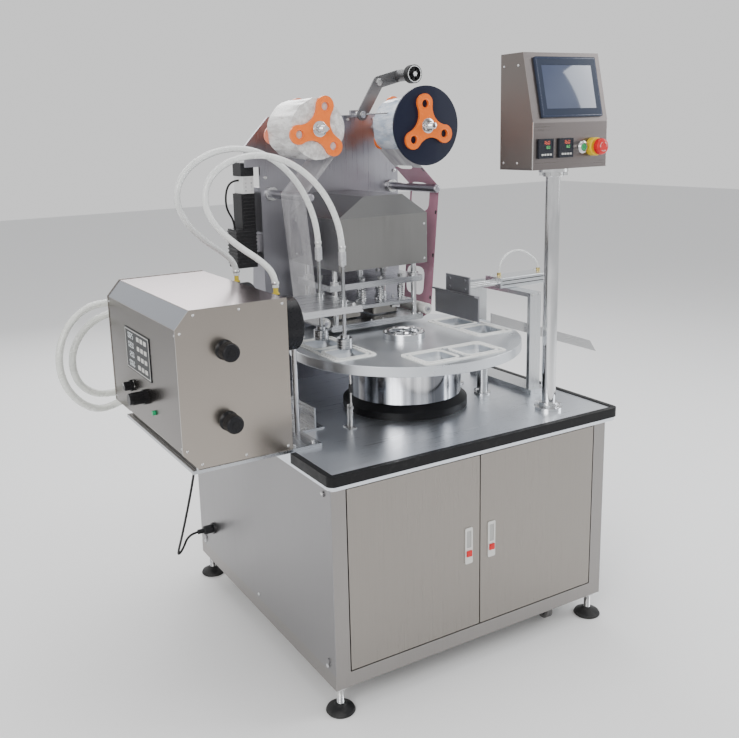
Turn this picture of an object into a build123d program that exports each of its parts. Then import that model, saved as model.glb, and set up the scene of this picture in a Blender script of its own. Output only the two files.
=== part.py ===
from build123d import *
from math import asin, atan2, cos, hypot, pi, radians, sin, tan
import os

os.makedirs("parts", exist_ok=True)

# Rotary cup filling and sealing machine: a steel cabinet on feet, a turntable with four stations
# of two cups each, a pump unit on a side shelf with two nozzles, a film sealing head at the rear
# and a push-off chute at the right.
# While the pieces are drawn, X runs right from the cabinet's left face, Y runs back from its front
# face and Z runs up from the floor. All sizes are millimetres.

# Fits
RUNNING = 0.05
GAP = 0.3
SLIDE = 0.5

# Cabinet
BODY_WIDTH = 850
BODY_DEPTH = 850
BODY_HEIGHT = 500
FOOT_HEIGHT = 70
POST = 40
TUBE_WALL = 2.5
PANEL = 2
BOTTOM_RAIL = 38
CHANNEL_START = 80
BODY_TOP = FOOT_HEIGHT + BODY_HEIGHT
DOOR_GAP = 3
DOOR_DEPTH = 15
DOOR_SHEET = 1.5
HINGE_INSET = 12
HINGE_PIN_R = 4
HINGE_PIN_LENGTH = 14
RAIL_CLEAR = 1.5

# Door locks: a plate with a square push button
LOCK_WIDTH = 23
LOCK_HEIGHT = 96
LOCK_PROUD = 2.5
LOCK_RADIUS = 4
LOCK_BOTTOM = 288
LOCK_FROM_EDGE = 36
BUTTON_SIDE = 15
BUTTON_RISE = 20
BUTTON_PROUD = 4
BUTTON_TRAVEL = 4

# Feet and casters
FOOT_PAD_R = 36
FOOT_PAD_HEIGHT = 22
FOOT_STEM_R = 8
FOOT_INSET = 22
FOOT_NUT_WIDTH = 26
CASTER_WHEEL_R = 25
CASTER_WHEEL_WIDTH = 20
CASTER_FORK = 3
CASTER_TRAIL = 24
CASTER_FLOOR_GAP = 4
CASTER_AXLE_R = 4
CASTER_PLATE = 56
CASTER_PLATE_THICK = 3
CASTER_RAIL = 4
KING_PIN_R = 6
CASTER_SIDE = 140
CASTER_BACK = 92

# Work table
TABLE_LEFT = 3
TABLE_RIGHT = 45
TABLE_FRONT = 5
TABLE_BACK = 25
TABLE_THICK = 33
TABLE_SHEET = 4
TABLE_BORDER = 68
TABLE_RIB = 14
RUBBER_HEIGHT = 23
RUBBER_WALL = 3
RUBBER_LIP = 15
RUBBER_PROUD = 2
TABLE_CORNER = 18
TABLE_Z = BODY_TOP + TABLE_THICK

# Turntable
TURN_X = BODY_WIDTH / 2 + 32
TURN_Y = BODY_DEPTH / 2 - 49
DISC_R = 321
DISC_THICK = 26
DISC_ABOVE_TABLE = 187
DISC_TOP = TABLE_Z + DISC_ABOVE_TABLE
DISC_BOTTOM = DISC_TOP - DISC_THICK
STATIONS = 4
STATION_R = 227
MOULD_LONG = 254
MOULD_WIDE = 124
MOULD_THICK = 12
MOULD_CORNER = 14
CAVITY_PITCH = 126
CAVITY_LONG = 92
CAVITY_WIDE = 84
CAVITY_CORNER = 14
WINDOW_MARGIN = 5
GASKET_WIDTH = 8
GASKET_PROUD = 3
SHAFT_R = 30
HUB_R = 59
HUB_BORE_R = 42
HUB_HEIGHT = 18
DRUM_R = 156
DRUM_WALL = 2
DRUM_LID = 8
DRUM_CLEAR = 5
BASE_RING_R = 174
BASE_RING_HEIGHT = 38

# Indexing drive under the table
GEARBOX_SIDE = 190
GEARBOX_HEIGHT = 150
MOTOR_R = 55
MOTOR_LENGTH = 190

# Display column and housing
COLUMN_X = BODY_WIDTH - 111
COLUMN_Y = 101
COLUMN_R = 19
COLUMN_WALL = 2
COLUMN_FLANGE_R = 38
COLUMN_FLANGE = 8
DISPLAY_LEFT = COLUMN_X - 98
DISPLAY_WIDTH = 253
DISPLAY_FRONT = 71
DISPLAY_BACK = 193
DISPLAY_BOTTOM = 1245
DISPLAY_STRAIGHT = 115
DISPLAY_HEIGHT = 286
DISPLAY_SLOPE_RUN = 40.5
DISPLAY_SHEET = 2
SCREEN_WIDTH = 204
SCREEN_HEIGHT = 152
SCREEN_LEFT = 29
SCREEN_TOP = 12
SCREEN_PROUD = 6
SCREEN_LIP = 6
SCREEN_DEPTH = 32
CONTROLLER_SIDE = 48
CONTROLLER_X = (COLUMN_X - 58, COLUMN_X + 9)
CONTROL_Z = 1297
CONTROLLER_PROUD = 7
CONTROLLER_LIP = 2
CONTROLLER_DEPTH = 60
START_X = COLUMN_X + 61
STOP_X = COLUMN_X + 103
CONTROL_BARREL_R = 11
BEZEL_R = 16
BEZEL_PROUD = 12
START_TRAVEL = 3
COLLAR_R = 23
COLLAR_PROUD = 18
STOP_HEAD_R = 20
STOP_TRAVEL = 4

# Pump unit on its shelf
SHELF_LEFT = -246
SHELF_RIGHT = 87
SHELF_FRONT = 192
SHELF_BACK = 700
SHELF_THICK = 8
UPSTAND_HEIGHT = 60
UPSTAND_FRONT = TURN_Y - 71
UPSTAND_BACK = TURN_Y + 72
UPSTAND_THICK = 4
PUMP_LEFT = -265
PUMP_RIGHT = 8
PUMP_FRONT = 195
PUMP_BACK = 725
PUMP_HEIGHT = 370
PUMP_CHAMFER_RUN = 36
PUMP_CHAMFER_RISE = 41
PUMP_SHEET = 2
COVER_OVERHANG = 1.5
SHELF_TOP = TABLE_Z + SHELF_THICK
PUMP_TOP = SHELF_TOP + PUMP_HEIGHT
BUFFER_X = -152
BUFFER_LOW = 103
BUFFER_PITCH = 168
BUFFER_R = 21
BUFFER_LENGTH = 44
KEYPAD_FRONT = 387
KEYPAD_BACK = 580
KEYPAD_LOW = 166
KEYPAD_HEIGHT = 109
KEYPAD_THICK = 2
SELECTOR_Y = 553
SELECTOR_LOW = 121
SPEED_KNOB_Y = 440
SPEED_KNOB_LOW = 119
LAMP_Y = 384
LAMP_LOW = 92
PUMP_BODY_R = 67
PUMP_BODY_LENGTH = 50
PUMP_CENTRES = (267, 507)
PUMP_AXIS_LOW = 294
BARB_OFFSET = 52
BARB_X = 34
BARB_R = 6
BARB_TOP = 985

# Filling nozzles
NOZZLE_X = TURN_X - STATION_R
NOZZLE_HEAD_R = 20.5
NOZZLE_HEAD_HEIGHT = 29
NOZZLE_ABOVE_DISC = 14
NOZZLE_TUBE_R = 5
NOZZLE_TUBE_TOP = 1030
NOZZLE_PLATE_LEFT = PUMP_RIGHT + PUMP_BODY_LENGTH + 8
NOZZLE_PLATE_RIGHT = NOZZLE_X + 32
NOZZLE_PLATE_FRONT = TURN_Y - 106
NOZZLE_PLATE_BACK = TURN_Y + 104
NOZZLE_PLATE_Z = 905
NOZZLE_PLATE_THICK = 17
NOZZLE_POST_X = SHELF_RIGHT - 10
NOZZLE_POST_Y = TURN_Y - 73
NOZZLE_POST_R = 7
CONNECTOR_R = 10
CONNECTOR_HEIGHT = 34

# Sealing head. The middle of the sealed cups is over the rear station.
SEAL_Y = TURN_Y + STATION_R
HEAD_FRONT = BODY_DEPTH - 95
HEAD_THICK = 10
HEAD_HALF = 240
HEAD_WING = 285
WING_BOTTOM = 1260
WING_TOP = 1319
SHOULDER_HALF = 267
SHOULDER_Z = 1339
HEAD_TOP = 1401
HEAD_SIDE_DEPTH = 95
HEAD_SIDE_TOP = 1200
HEAD_FOOT = 10
BAR_HALF = 210
BAR_Z = 1181
BAR_R = 12
BAR_FRONT = SEAL_Y - 103
HOOD_HALF = 148
HOOD_BOTTOM = 975
HOOD_SHOULDER = 1119
HOOD_TOP = 1177
HOOD_TOP_HALF = 64
HOOD_FRONT = SEAL_Y - 133
HOOD_SHEET = 2
REEL_HALF = 175
REEL_Z = 1362
REEL_SHAFT_R = 8
REEL_SHAFT_FRONT = SEAL_Y - 133
LOBE_TIP_R = 90
LOBE_HOLE_RADIUS = 62
LOBE_HOLE_R = 11
LOBE_END_R = 26
LOBE_THICK = 8
SUPPLY_LOBE_AT = 72
WASTE_LOBE_AT = 98
LOBE_WAIST_R = 34
ROLL_FRONT = SEAL_Y - 91
ROLL_BACK = SEAL_Y + 57
CORE_R = 38
CORE_BORE_R = 34
SUPPLY_ROLL_R = 85
WASTE_ROLL_R = 90
WASTE_DISC_R = 112
WASTE_DISC_THICK = 6

# Film press
FRAME_HALF = 157
GUIDE_ABOVE_DISC = 10
GUIDE_Z = DISC_TOP + GUIDE_ABOVE_DISC
GUIDE_THICK = 17
GUIDE_END_R = 7
GUIDE_FRONT = SEAL_Y - 98
GUIDE_BACK = SEAL_Y + 97
PRESS_Z = 855
PRESS_THICK = 10
PRESS_HALF = 122
UPPER_Z = 915
UPPER_THICK = 17
BRIDGE_Z = 1000
BRIDGE_THICK = 20
POST_R = 8
POST_HALF = 134
POST_FRONT = SEAL_Y - 83
POST_BACK = SEAL_Y + 83
PRESS_STROKE = 27.5
HEAD_LONG = 88
HEAD_WIDE = 80
HEAD_CORNER = 12
SEAL_GAP = 0.7
ROD_R = 10
CYLINDER_SIDE = 80
CYLINDER_HEIGHT = 120
ROLLER_HALF = 175
ROLLER_Z = 827
ROLLER_R = 16
ROLLER_FRONT = SEAL_Y - 97
ROLLER_BACK = SEAL_Y + 61
ROLLER_PIN_R = 5
FILM = 0.6
FILM_FRONT = SEAL_Y - 91
FILM_BACK = SEAL_Y + 55

# Reel drives behind the plate and the motor beside it
REAR_MOTOR_R = 34
REAR_MOTOR_LENGTH = 78
BRAKE_R = 30
BRAKE_LENGTH = 34
FILM_MOTOR_X = TURN_X - HEAD_HALF - 23
FILM_MOTOR_Y = HEAD_FRONT + 45

# Measuring arm that rides on the take-up roll
ARM_PIVOT_X = TURN_X + 88
ARM_PIVOT_Z = 1401
ARM_KNEE_X = TURN_X + 148
ARM_KNEE_Z = 1495
ARM_WHEEL_X = TURN_X + 223
ARM_WHEEL_Z = 1514
ARM_WIDTH = 36
ARM_THICK = 5
ARM_FRONT = HEAD_FRONT - 43
WHEEL_R = 27
WHEEL_WIDTH = 22
WHEEL_FRONT = SEAL_Y + 27
ARM_AXLE_R = 5
LIFT_PIN_R = 2.5
LIFT_PIN_LENGTH = 140

# Push-off station
STAND_X = BODY_WIDTH - 35
STAND_WIDTH = 40
STAND_THICK = 12
STAND_FRONT = TURN_Y - 136
STAND_TOP = DISC_TOP + 103
BEAM_HEIGHT = 14
BEAM_BACK = TURN_Y + 119
BEAM_HALF = 32
REAR_POST_FRONT = TURN_Y + 104
REAR_POST_HEAD = 69
REAR_POST_DEEP = 41
REAR_POST_FILLET = 28
PUSHER_X = TURN_X + 173
PUSHER_SHEET = 5
PUSHER_FRONT = TURN_Y - 109
PUSHER_BACK = TURN_Y + 90
PUSHER_BLADE = 72
PUSHER_NECK = 48
PUSHER_LOW = DISC_TOP + 37
PUSHER_FOLD = PUSHER_LOW + PUSHER_BLADE
PUSHER_TOP = PUSHER_FOLD + PUSHER_NECK
PUSHER_NECK_FRONT = TURN_Y - 69
PUSHER_NECK_BACK = TURN_Y + 37
PUSHER_STROKE = 110
CYL_FRONT_X = STAND_X - 42
CYL_BACK_X = STAND_X + 153
CYL_Y = TURN_Y
CYL_HALF = 16
CYL_Z = STAND_TOP + CYL_HALF
CYL_WIDE = 34
GUIDE_ROD_R = 5
GUIDE_ROD_OFFSET = 23
CHUTE_START = STAND_X - 30
WALL_START = STAND_X - 151
CHUTE_END = STAND_X + 255
CHUTE_SLOPE = 19.2
CHUTE_FRONT = STAND_FRONT + STAND_THICK
CHUTE_BACK = REAR_POST_FRONT - 3
CHUTE_WALL = 28
CHUTE_LIP = 6
CHUTE_SHEET = 2
CHUTE_LOW_AT_START = DISC_TOP - 9

# Cup lifter under the push-off station
LIFTER_R = 28
LIFTER_ROD_R = 6
LIFTER_THICK = 8
LIFTER_DROP = 9
LIFTER_STROKE = 40
LIFTER_BODY_R = 16
LIFTER_BODY_HEIGHT = 95
LIFTER_BAR_GAP = 4
LIFTER_BAR_THICK = 6

# Hoses and cords
DOSING_R = 8
SUCTION_R = 10
MAINS_R = 3.5
AIR_R = 3
MOTOR_CABLE_R = 3

# The frame that everything is placed in has its origin on the floor, under the middle of the footprint.
KNOB_REACH = 46
FRAME_X = (PUMP_LEFT - KNOB_REACH + CHUTE_END) / 2
FRAME_Y = (BODY_DEPTH + TABLE_BACK - TABLE_FRONT) / 2
PLACE = Pos(-FRAME_X, -FRAME_Y, 0)


def save(name, *pieces):
    """Write one sub-part: each piece is a separate solid of it."""
    solids = []
    for piece in pieces:
        solids.extend((PLACE * piece).solids())
    export_step(Compound(children=solids), f"parts/{name}.step")


def block(x0, x1, y0, y1, z0, z1):
    """A box between two corners."""
    return Pos((x0 + x1) / 2, (y0 + y1) / 2, (z0 + z1) / 2) * Box(x1 - x0, y1 - y0, z1 - z0)


def rod(radius, x, y, z0, z1):
    """An upright cylinder."""
    return Pos(x, y, (z0 + z1) / 2) * Cylinder(radius, z1 - z0)


def rod_x(radius, x0, x1, y, z):
    """A cylinder along X."""
    return Pos((x0 + x1) / 2, y, z) * Rot(0, 90, 0) * Cylinder(radius, x1 - x0)


def rod_y(radius, x, y0, y1, z):
    """A cylinder along Y."""
    return Pos(x, (y0 + y1) / 2, z) * Rot(90, 0, 0) * Cylinder(radius, y1 - y0)


def ring(outer, inner, x, y, z0, z1):
    """An upright tube."""
    return rod(outer, x, y, z0, z1) - rod(inner, x, y, z0, z1)


def ring_y(outer, inner, x, y0, y1, z):
    """A tube along Y."""
    return rod_y(outer, x, y0, y1, z) - rod_y(inner, x, y0, y1, z)


def slab(width, depth, corner, x, y, z0, z1):
    """A plate with rounded corners, centred on a point."""
    return Pos(x, y, z0) * extrude(RectangleRounded(width, depth, corner), z1 - z0)


def plate_xz(points, y0, y1):
    """A flat plate that faces the front, from its outline in X and Z."""
    face = make_face(Plane.XZ * Polyline(*points, close=True))
    return Pos(0, y0, 0) * extrude(face, y1 - y0, dir=(0, 1, 0))


def plate_yz(points, x0, x1):
    """A flat plate that faces the side, from its outline in Y and Z."""
    face = make_face(Plane.YZ * Polyline(*points, close=True))
    return Pos(x0, 0, 0) * extrude(face, x1 - x0, dir=(1, 0, 0))


def hex_nut(width, x, y, z0, z1):
    """A hexagon nut or bolt head."""
    return Pos(x, y, z0) * extrude(RegularPolygon(width / 2, 6, major_radius=False), z1 - z0)


# Cabinet

def square_tube(x0, x1, y0, y1, z0, z1):
    """An upright of square tube, open at its ends."""
    wall = TUBE_WALL
    return block(x0, x1, y0, y1, z0, z1) - block(x0 + wall, x1 - wall, y0 + wall, y1 - wall, z0, z1)


DOOR_BOTTOM = FOOT_HEIGHT + BOTTOM_RAIL + DOOR_GAP
TOP_RAIL = 24
DOOR_TOP = BODY_TOP - DOOR_GAP
HINGE_Y = DOOR_DEPTH / 2
LEFT_HINGE_X = POST + DOOR_GAP + HINGE_INSET
RIGHT_HINGE_X = BODY_WIDTH - LEFT_HINGE_X


def cabinet_frame():
    """Welded frame: four tube posts, bottom rails folded open below, and set-back top rails."""
    inner_x = (PANEL, BODY_WIDTH - PANEL)
    post_x = ((inner_x[0], POST), (BODY_WIDTH - POST, inner_x[1]))
    post_y = ((0, POST), (BODY_DEPTH - PANEL - POST, BODY_DEPTH - PANEL))
    low = FOOT_HEIGHT + BOTTOM_RAIL
    frame = block(0, BODY_WIDTH, 0, POST, FOOT_HEIGHT, low)
    frame += block(0, BODY_WIDTH, BODY_DEPTH - POST, BODY_DEPTH, FOOT_HEIGHT, low)
    frame += block(0, POST, POST, BODY_DEPTH - POST, FOOT_HEIGHT, low)
    frame += block(BODY_WIDTH - POST, BODY_WIDTH, POST, BODY_DEPTH - POST, FOOT_HEIGHT, low)
    for x0, x1 in post_x:
        for y0, y1 in post_y:
            frame += square_tube(x0, x1, y0, y1, low, BODY_TOP)
    rail_z = BODY_TOP - TOP_RAIL
    set_back = HINGE_Y + hypot(HINGE_INSET, HINGE_Y) + RAIL_CLEAR
    frame += block(POST, BODY_WIDTH - POST, set_back, set_back + POST, rail_z, BODY_TOP)
    frame += block(POST, BODY_WIDTH - POST, post_y[1][0], post_y[1][1], rail_z, BODY_TOP)
    frame += block(inner_x[0], POST, POST, post_y[1][0], rail_z, BODY_TOP)
    frame += block(BODY_WIDTH - POST, inner_x[1], POST, post_y[1][0], rail_z, BODY_TOP)
    wall = TUBE_WALL
    for y0 in (0, BODY_DEPTH - POST):
        frame -= block(CHANNEL_START, BODY_WIDTH - CHANNEL_START, y0 + wall, y0 + POST - wall, FOOT_HEIGHT, low - wall)
    for x0 in (0, BODY_WIDTH - POST):
        frame -= block(x0 + wall, x0 + POST - wall, CHANNEL_START, BODY_DEPTH - CHANNEL_START, FOOT_HEIGHT, low - wall)
    for x in (LEFT_HINGE_X, RIGHT_HINGE_X):
        frame -= rod(HINGE_PIN_R + RUNNING, x, HINGE_Y, low - HINGE_PIN_LENGTH - 1, low)
    for x, y in foot_places():
        frame -= rod(FOOT_STEM_R, x, y, FOOT_HEIGHT, FOOT_HEIGHT + 24)
    return frame


def foot_places():
    """The four corners where the levelling feet are screwed in."""
    for x in (FOOT_INSET, BODY_WIDTH - FOOT_INSET):
        for y in (FOOT_INSET, BODY_DEPTH - FOOT_INSET):
            yield x, y


def side_panel(x0):
    """A side sheet that covers posts and rail, with its fixing bolts."""
    bottom = FOOT_HEIGHT + BOTTOM_RAIL
    sheet = block(x0, x0 + PANEL, 0, BODY_DEPTH - PANEL, bottom, BODY_TOP)
    outside = x0 if x0 == 0 else x0 + PANEL
    out = -3 if x0 == 0 else 3
    for y in (POST * 0.8, BODY_DEPTH - POST):
        for z in (bottom + 26, BODY_TOP - 15):
            low, high = sorted((outside, outside + out))
            sheet += rod_x(6, low, high, y, z)
    return sheet


def rear_panel():
    """The rear sheet with its rows of ventilation slots."""
    bottom = FOOT_HEIGHT + BOTTOM_RAIL
    sheet = block(PANEL, BODY_WIDTH - PANEL, BODY_DEPTH - PANEL, BODY_DEPTH, bottom, BODY_TOP)
    for column in range(2):
        for row in range(6):
            x = BODY_WIDTH * (0.3 + 0.4 * column)
            z = bottom + 70 + row * 22
            sheet -= block(x - 55, x + 55, BODY_DEPTH - PANEL, BODY_DEPTH, z, z + 7)
    return sheet


def door(left_side):
    """A folded sheet door with its hinge pins and lock plate."""
    middle = BODY_WIDTH / 2
    if left_side:
        x0, x1, hinge_x = POST + DOOR_GAP, middle - DOOR_GAP / 2, LEFT_HINGE_X
    else:
        x0, x1, hinge_x = middle + DOOR_GAP / 2, BODY_WIDTH - POST - DOOR_GAP, RIGHT_HINGE_X
    shell = block(x0, x1, 0, DOOR_DEPTH, DOOR_BOTTOM, DOOR_TOP)
    hollow = block(x0 + DOOR_SHEET, x1 - DOOR_SHEET, DOOR_SHEET, DOOR_DEPTH, DOOR_BOTTOM + DOOR_SHEET,
                   DOOR_TOP - DOOR_SHEET)
    shell -= hollow
    z_low = DOOR_BOTTOM
    shell += block(hinge_x - 8, hinge_x + 8, DOOR_SHEET, DOOR_DEPTH, z_low, z_low + 20)
    shell += block(hinge_x - 8, hinge_x + 8, DOOR_SHEET, DOOR_DEPTH, DOOR_TOP - 20, DOOR_TOP)
    shell += rod(HINGE_PIN_R, hinge_x, HINGE_Y, z_low - HINGE_PIN_LENGTH, z_low)
    shell += rod(HINGE_PIN_R, hinge_x, HINGE_Y, DOOR_TOP, DOOR_TOP + HINGE_PIN_LENGTH)
    lock_x = lock_place(left_side)
    shell += lock_plate(lock_x)
    shell -= block(lock_x - BUTTON_SIDE / 2 - GAP, lock_x + BUTTON_SIDE / 2 + GAP, -LOCK_PROUD, DOOR_SHEET,
                   LOCK_BOTTOM + BUTTON_RISE - GAP, LOCK_BOTTOM + BUTTON_RISE + BUTTON_SIDE + GAP)
    return shell


def lock_place(left_side):
    """X of a lock's middle, beside the meeting edges of the doors."""
    middle = BODY_WIDTH / 2
    return middle - LOCK_FROM_EDGE if left_side else middle + LOCK_FROM_EDGE


def lock_plate(x):
    """The raised lock plate and its grip recess above the button."""
    z = LOCK_BOTTOM + LOCK_HEIGHT / 2
    plate = extrude(Plane.XZ.offset(0) * RectangleRounded(LOCK_WIDTH, LOCK_HEIGHT, LOCK_RADIUS), LOCK_PROUD)
    plate = Pos(x, 0, z) * plate
    recess_low = LOCK_BOTTOM + BUTTON_RISE + BUTTON_SIDE + 8
    plate -= block(x - 7, x + 7, -LOCK_PROUD, -LOCK_PROUD + 1, recess_low, LOCK_BOTTOM + LOCK_HEIGHT - 8)
    return plate


def lock_button(left_side):
    """The square push button of a lock."""
    x = lock_place(left_side)
    z0 = LOCK_BOTTOM + BUTTON_RISE
    half = BUTTON_SIDE / 2
    front = -LOCK_PROUD - BUTTON_PROUD
    cap = block(x - half, x + half, front, DOOR_SHEET, z0, z0 + BUTTON_SIDE)
    cap = fillet(cap.edges().group_by(Axis.Y)[0], 1)
    flange = block(x - half - 1.5, x + half + 1.5, DOOR_SHEET + GAP, DOOR_SHEET + 2, z0 - 1.5,
                   z0 + BUTTON_SIDE + 1.5)
    neck = block(x - half, x + half, DOOR_SHEET, DOOR_SHEET + 2, z0, z0 + BUTTON_SIDE)
    return cap + flange + neck


def levelling_foot(x, y):
    """A rubber pad on a threaded stem with its lock nut."""
    profile = Polyline((0, 0), (FOOT_PAD_R - 2, 0), (FOOT_PAD_R, 3), (FOOT_PAD_R - 3, 9), (16, FOOT_PAD_HEIGHT - 4),
                       (12, FOOT_PAD_HEIGHT), (0, FOOT_PAD_HEIGHT), close=True)
    foot = revolve(make_face(Plane.XZ * profile), Axis.Z)
    foot = Pos(x, y, 0) * foot
    foot += rod(FOOT_STEM_R, x, y, FOOT_PAD_HEIGHT, FOOT_HEIGHT + 24)
    foot += hex_nut(FOOT_NUT_WIDTH, x, y, FOOT_HEIGHT - 10, FOOT_HEIGHT)
    return foot


# A caster's swivel axis stands at a point; its wheel trails behind it.

CASTER_AXLE_Z = CASTER_FLOOR_GAP + CASTER_WHEEL_R


def caster_fork(x, y, trail, swivels):
    """Bearing head and bent fork of a caster with the axle riveted in it; a swivelling one has a king pin."""
    plate = FOOT_HEIGHT - CASTER_PLATE_THICK
    top = plate - GAP if swivels else plate
    crown = plate - 6
    width = CASTER_WHEEL_WIDTH / 2 + 1.5
    fork = rod(16, x, y, crown - CASTER_FORK, top)
    fork += block(x - width - CASTER_FORK, x + width + CASTER_FORK, min(y, y + trail) - 14,
                  max(y, y + trail) + 14, crown - CASTER_FORK, crown)
    for side in (-1, 1):
        x0, x1 = sorted((x + side * width, x + side * (width + CASTER_FORK)))
        fork += plate_yz([(y - 13, crown - CASTER_FORK), (y + 13, crown - CASTER_FORK),
                          (y + trail + 8, CASTER_AXLE_Z - 8), (y + trail - 8, CASTER_AXLE_Z - 8)], x0, x1)
    fork += rod_x(CASTER_AXLE_R, x - width - CASTER_FORK - 2, x + width + CASTER_FORK + 2, y + trail,
                  CASTER_AXLE_Z)
    if swivels:
        fork += rod(KING_PIN_R, x, y, top, FOOT_HEIGHT + CASTER_RAIL)
    return fork


def caster_wheel(x, y, trail):
    """A hard wheel with rounded tread edges and a bore for the axle."""
    wheel = rod_x(CASTER_WHEEL_R, x - CASTER_WHEEL_WIDTH / 2, x + CASTER_WHEEL_WIDTH / 2, y + trail,
                  CASTER_AXLE_Z)
    wheel = chamfer(wheel.edges().filter_by(GeomType.CIRCLE), 2)
    bore = rod_x(CASTER_AXLE_R + RUNNING, x - 20, x + 20, y + trail, CASTER_AXLE_Z)
    return wheel - bore


CASTERS = {
    "front_left": (CASTER_SIDE, CASTER_BACK, CASTER_TRAIL),
    "front_right": (BODY_WIDTH - CASTER_SIDE, CASTER_BACK, -CASTER_TRAIL),
    "rear_left": (CASTER_SIDE, BODY_DEPTH - CASTER_BACK, CASTER_TRAIL),
    "rear_right": (BODY_WIDTH - CASTER_SIDE, BODY_DEPTH - CASTER_BACK, CASTER_TRAIL),
}


def caster_rail(y, swivels):
    """A cross rail with the top plates of its two casters."""
    half = CASTER_PLATE / 2
    rail = block(POST, BODY_WIDTH - POST, y - half - 2, y + half + 2, FOOT_HEIGHT, FOOT_HEIGHT + CASTER_RAIL)
    for x in (CASTER_SIDE, BODY_WIDTH - CASTER_SIDE):
        rail += slab(CASTER_PLATE, CASTER_PLATE, 5, x, y, FOOT_HEIGHT - CASTER_PLATE_THICK, FOOT_HEIGHT)
        if swivels:
            rail -= rod(KING_PIN_R + RUNNING, x, y, 0, BODY_HEIGHT)
    return rail


# Table

TABLE_X0 = -TABLE_LEFT
TABLE_X1 = BODY_WIDTH + TABLE_RIGHT
TABLE_Y0 = -TABLE_FRONT
TABLE_Y1 = BODY_DEPTH + TABLE_BACK
TABLE_MID_X = (TABLE_X0 + TABLE_X1) / 2
TABLE_MID_Y = (TABLE_Y0 + TABLE_Y1) / 2


def table_slab(inset, z0, z1):
    """The table's outline, set in by an amount, between two heights."""
    return slab(TABLE_X1 - TABLE_X0 - 2 * inset, TABLE_Y1 - TABLE_Y0 - 2 * inset, TABLE_CORNER - inset,
                TABLE_MID_X, TABLE_MID_Y, z0, z1)


def table_top():
    """Steel table: a sheet on a ribbed frame, rebated for its rubber edging, with a boss for the drive."""
    table = table_slab(RUBBER_WALL, BODY_TOP, TABLE_Z)
    half = GEARBOX_SIDE / 2 + 35
    boss = block(TURN_X - half, TURN_X + half, TURN_Y - half, TURN_Y + half, BODY_TOP, TABLE_Z)
    cell_x = (BODY_WIDTH - 2 * TABLE_BORDER - 2 * TABLE_RIB) / 3
    cell_y = (BODY_DEPTH - 2 * TABLE_BORDER - 2 * TABLE_RIB) / 3
    for column in range(3):
        for row in range(3):
            x0 = TABLE_BORDER + column * (cell_x + TABLE_RIB)
            y0 = TABLE_BORDER + row * (cell_y + TABLE_RIB)
            table -= block(x0, x0 + cell_x, y0, y0 + cell_y, BODY_TOP, TABLE_Z - TABLE_SHEET) - boss
    table -= rod(SHAFT_R + 2, TURN_X, TURN_Y, BODY_TOP, TABLE_Z)
    for x in (LEFT_HINGE_X, RIGHT_HINGE_X):
        table -= rod(HINGE_PIN_R + RUNNING, x, HINGE_Y, BODY_TOP, DOOR_TOP + HINGE_PIN_LENGTH + 1)
    return table


def rubber_edging():
    """Black edging that is pushed over the table's edge and stops where the pump shelf crosses it."""
    bottom = TABLE_Z - RUBBER_HEIGHT
    edging = table_slab(0, bottom, TABLE_Z + RUBBER_PROUD) - table_slab(RUBBER_WALL, bottom, TABLE_Z)
    edging -= table_slab(RUBBER_LIP, TABLE_Z, TABLE_Z + RUBBER_PROUD)
    edging -= block(TABLE_X0 - 1, TABLE_X0 + TABLE_CORNER * 2, SHELF_FRONT - 6, SHELF_BACK + 6, bottom - 1,
                    TABLE_Z + RUBBER_PROUD + 1)
    return edging


# Turntable

def station_turn(index):
    """The turn about the turntable's axis that carries the first station to a given one."""
    return Pos(TURN_X, TURN_Y, 0) * Rot(0, 0, 360 / STATIONS * index)


def cavity_slab(margin, z0, z1):
    """Both cup openings of the first station, each larger than a cavity by a margin all round."""
    pair = None
    for side in (-1, 1):
        one = slab(CAVITY_WIDE + 2 * margin, CAVITY_LONG + 2 * margin, CAVITY_CORNER + margin, STATION_R,
                   side * CAVITY_PITCH / 2, z0, z1)
        pair = one if pair is None else pair + one
    return pair


def turntable_disc():
    """The aluminium disc with a pocket and two windows at each station."""
    disc = rod(DISC_R, TURN_X, TURN_Y, DISC_BOTTOM, DISC_TOP)
    disc = chamfer(disc.edges().filter_by(GeomType.CIRCLE), 1)
    pocket = slab(MOULD_WIDE, MOULD_LONG, MOULD_CORNER, STATION_R, 0, DISC_TOP - MOULD_THICK, DISC_TOP)
    pocket += cavity_slab(WINDOW_MARGIN, DISC_BOTTOM, DISC_TOP)
    for index in range(STATIONS):
        disc -= station_turn(index) * pocket
    return disc


def station_mould():
    """The cup mould plate that lies in a station's pocket."""
    mould = slab(MOULD_WIDE, MOULD_LONG, MOULD_CORNER, STATION_R, 0, DISC_TOP - MOULD_THICK, DISC_TOP)
    return mould - cavity_slab(0, DISC_TOP - MOULD_THICK, DISC_TOP)


def station_gasket():
    """White sealing rubber of a station: a frame round the mould and a ring round each cup opening."""
    z0 = DISC_TOP
    z1 = DISC_TOP + GASKET_PROUD
    frame = slab(MOULD_WIDE, MOULD_LONG, MOULD_CORNER, STATION_R, 0, z0, z1)
    inner = slab(MOULD_WIDE - 2 * GASKET_WIDTH, MOULD_LONG - 2 * GASKET_WIDTH, MOULD_CORNER - GASKET_WIDTH / 2,
                 STATION_R, 0, z0, z1)
    frame -= inner
    rings = cavity_slab(GASKET_WIDTH, z0, z1) - cavity_slab(0, z0, z1)
    return [frame, rings]


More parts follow.
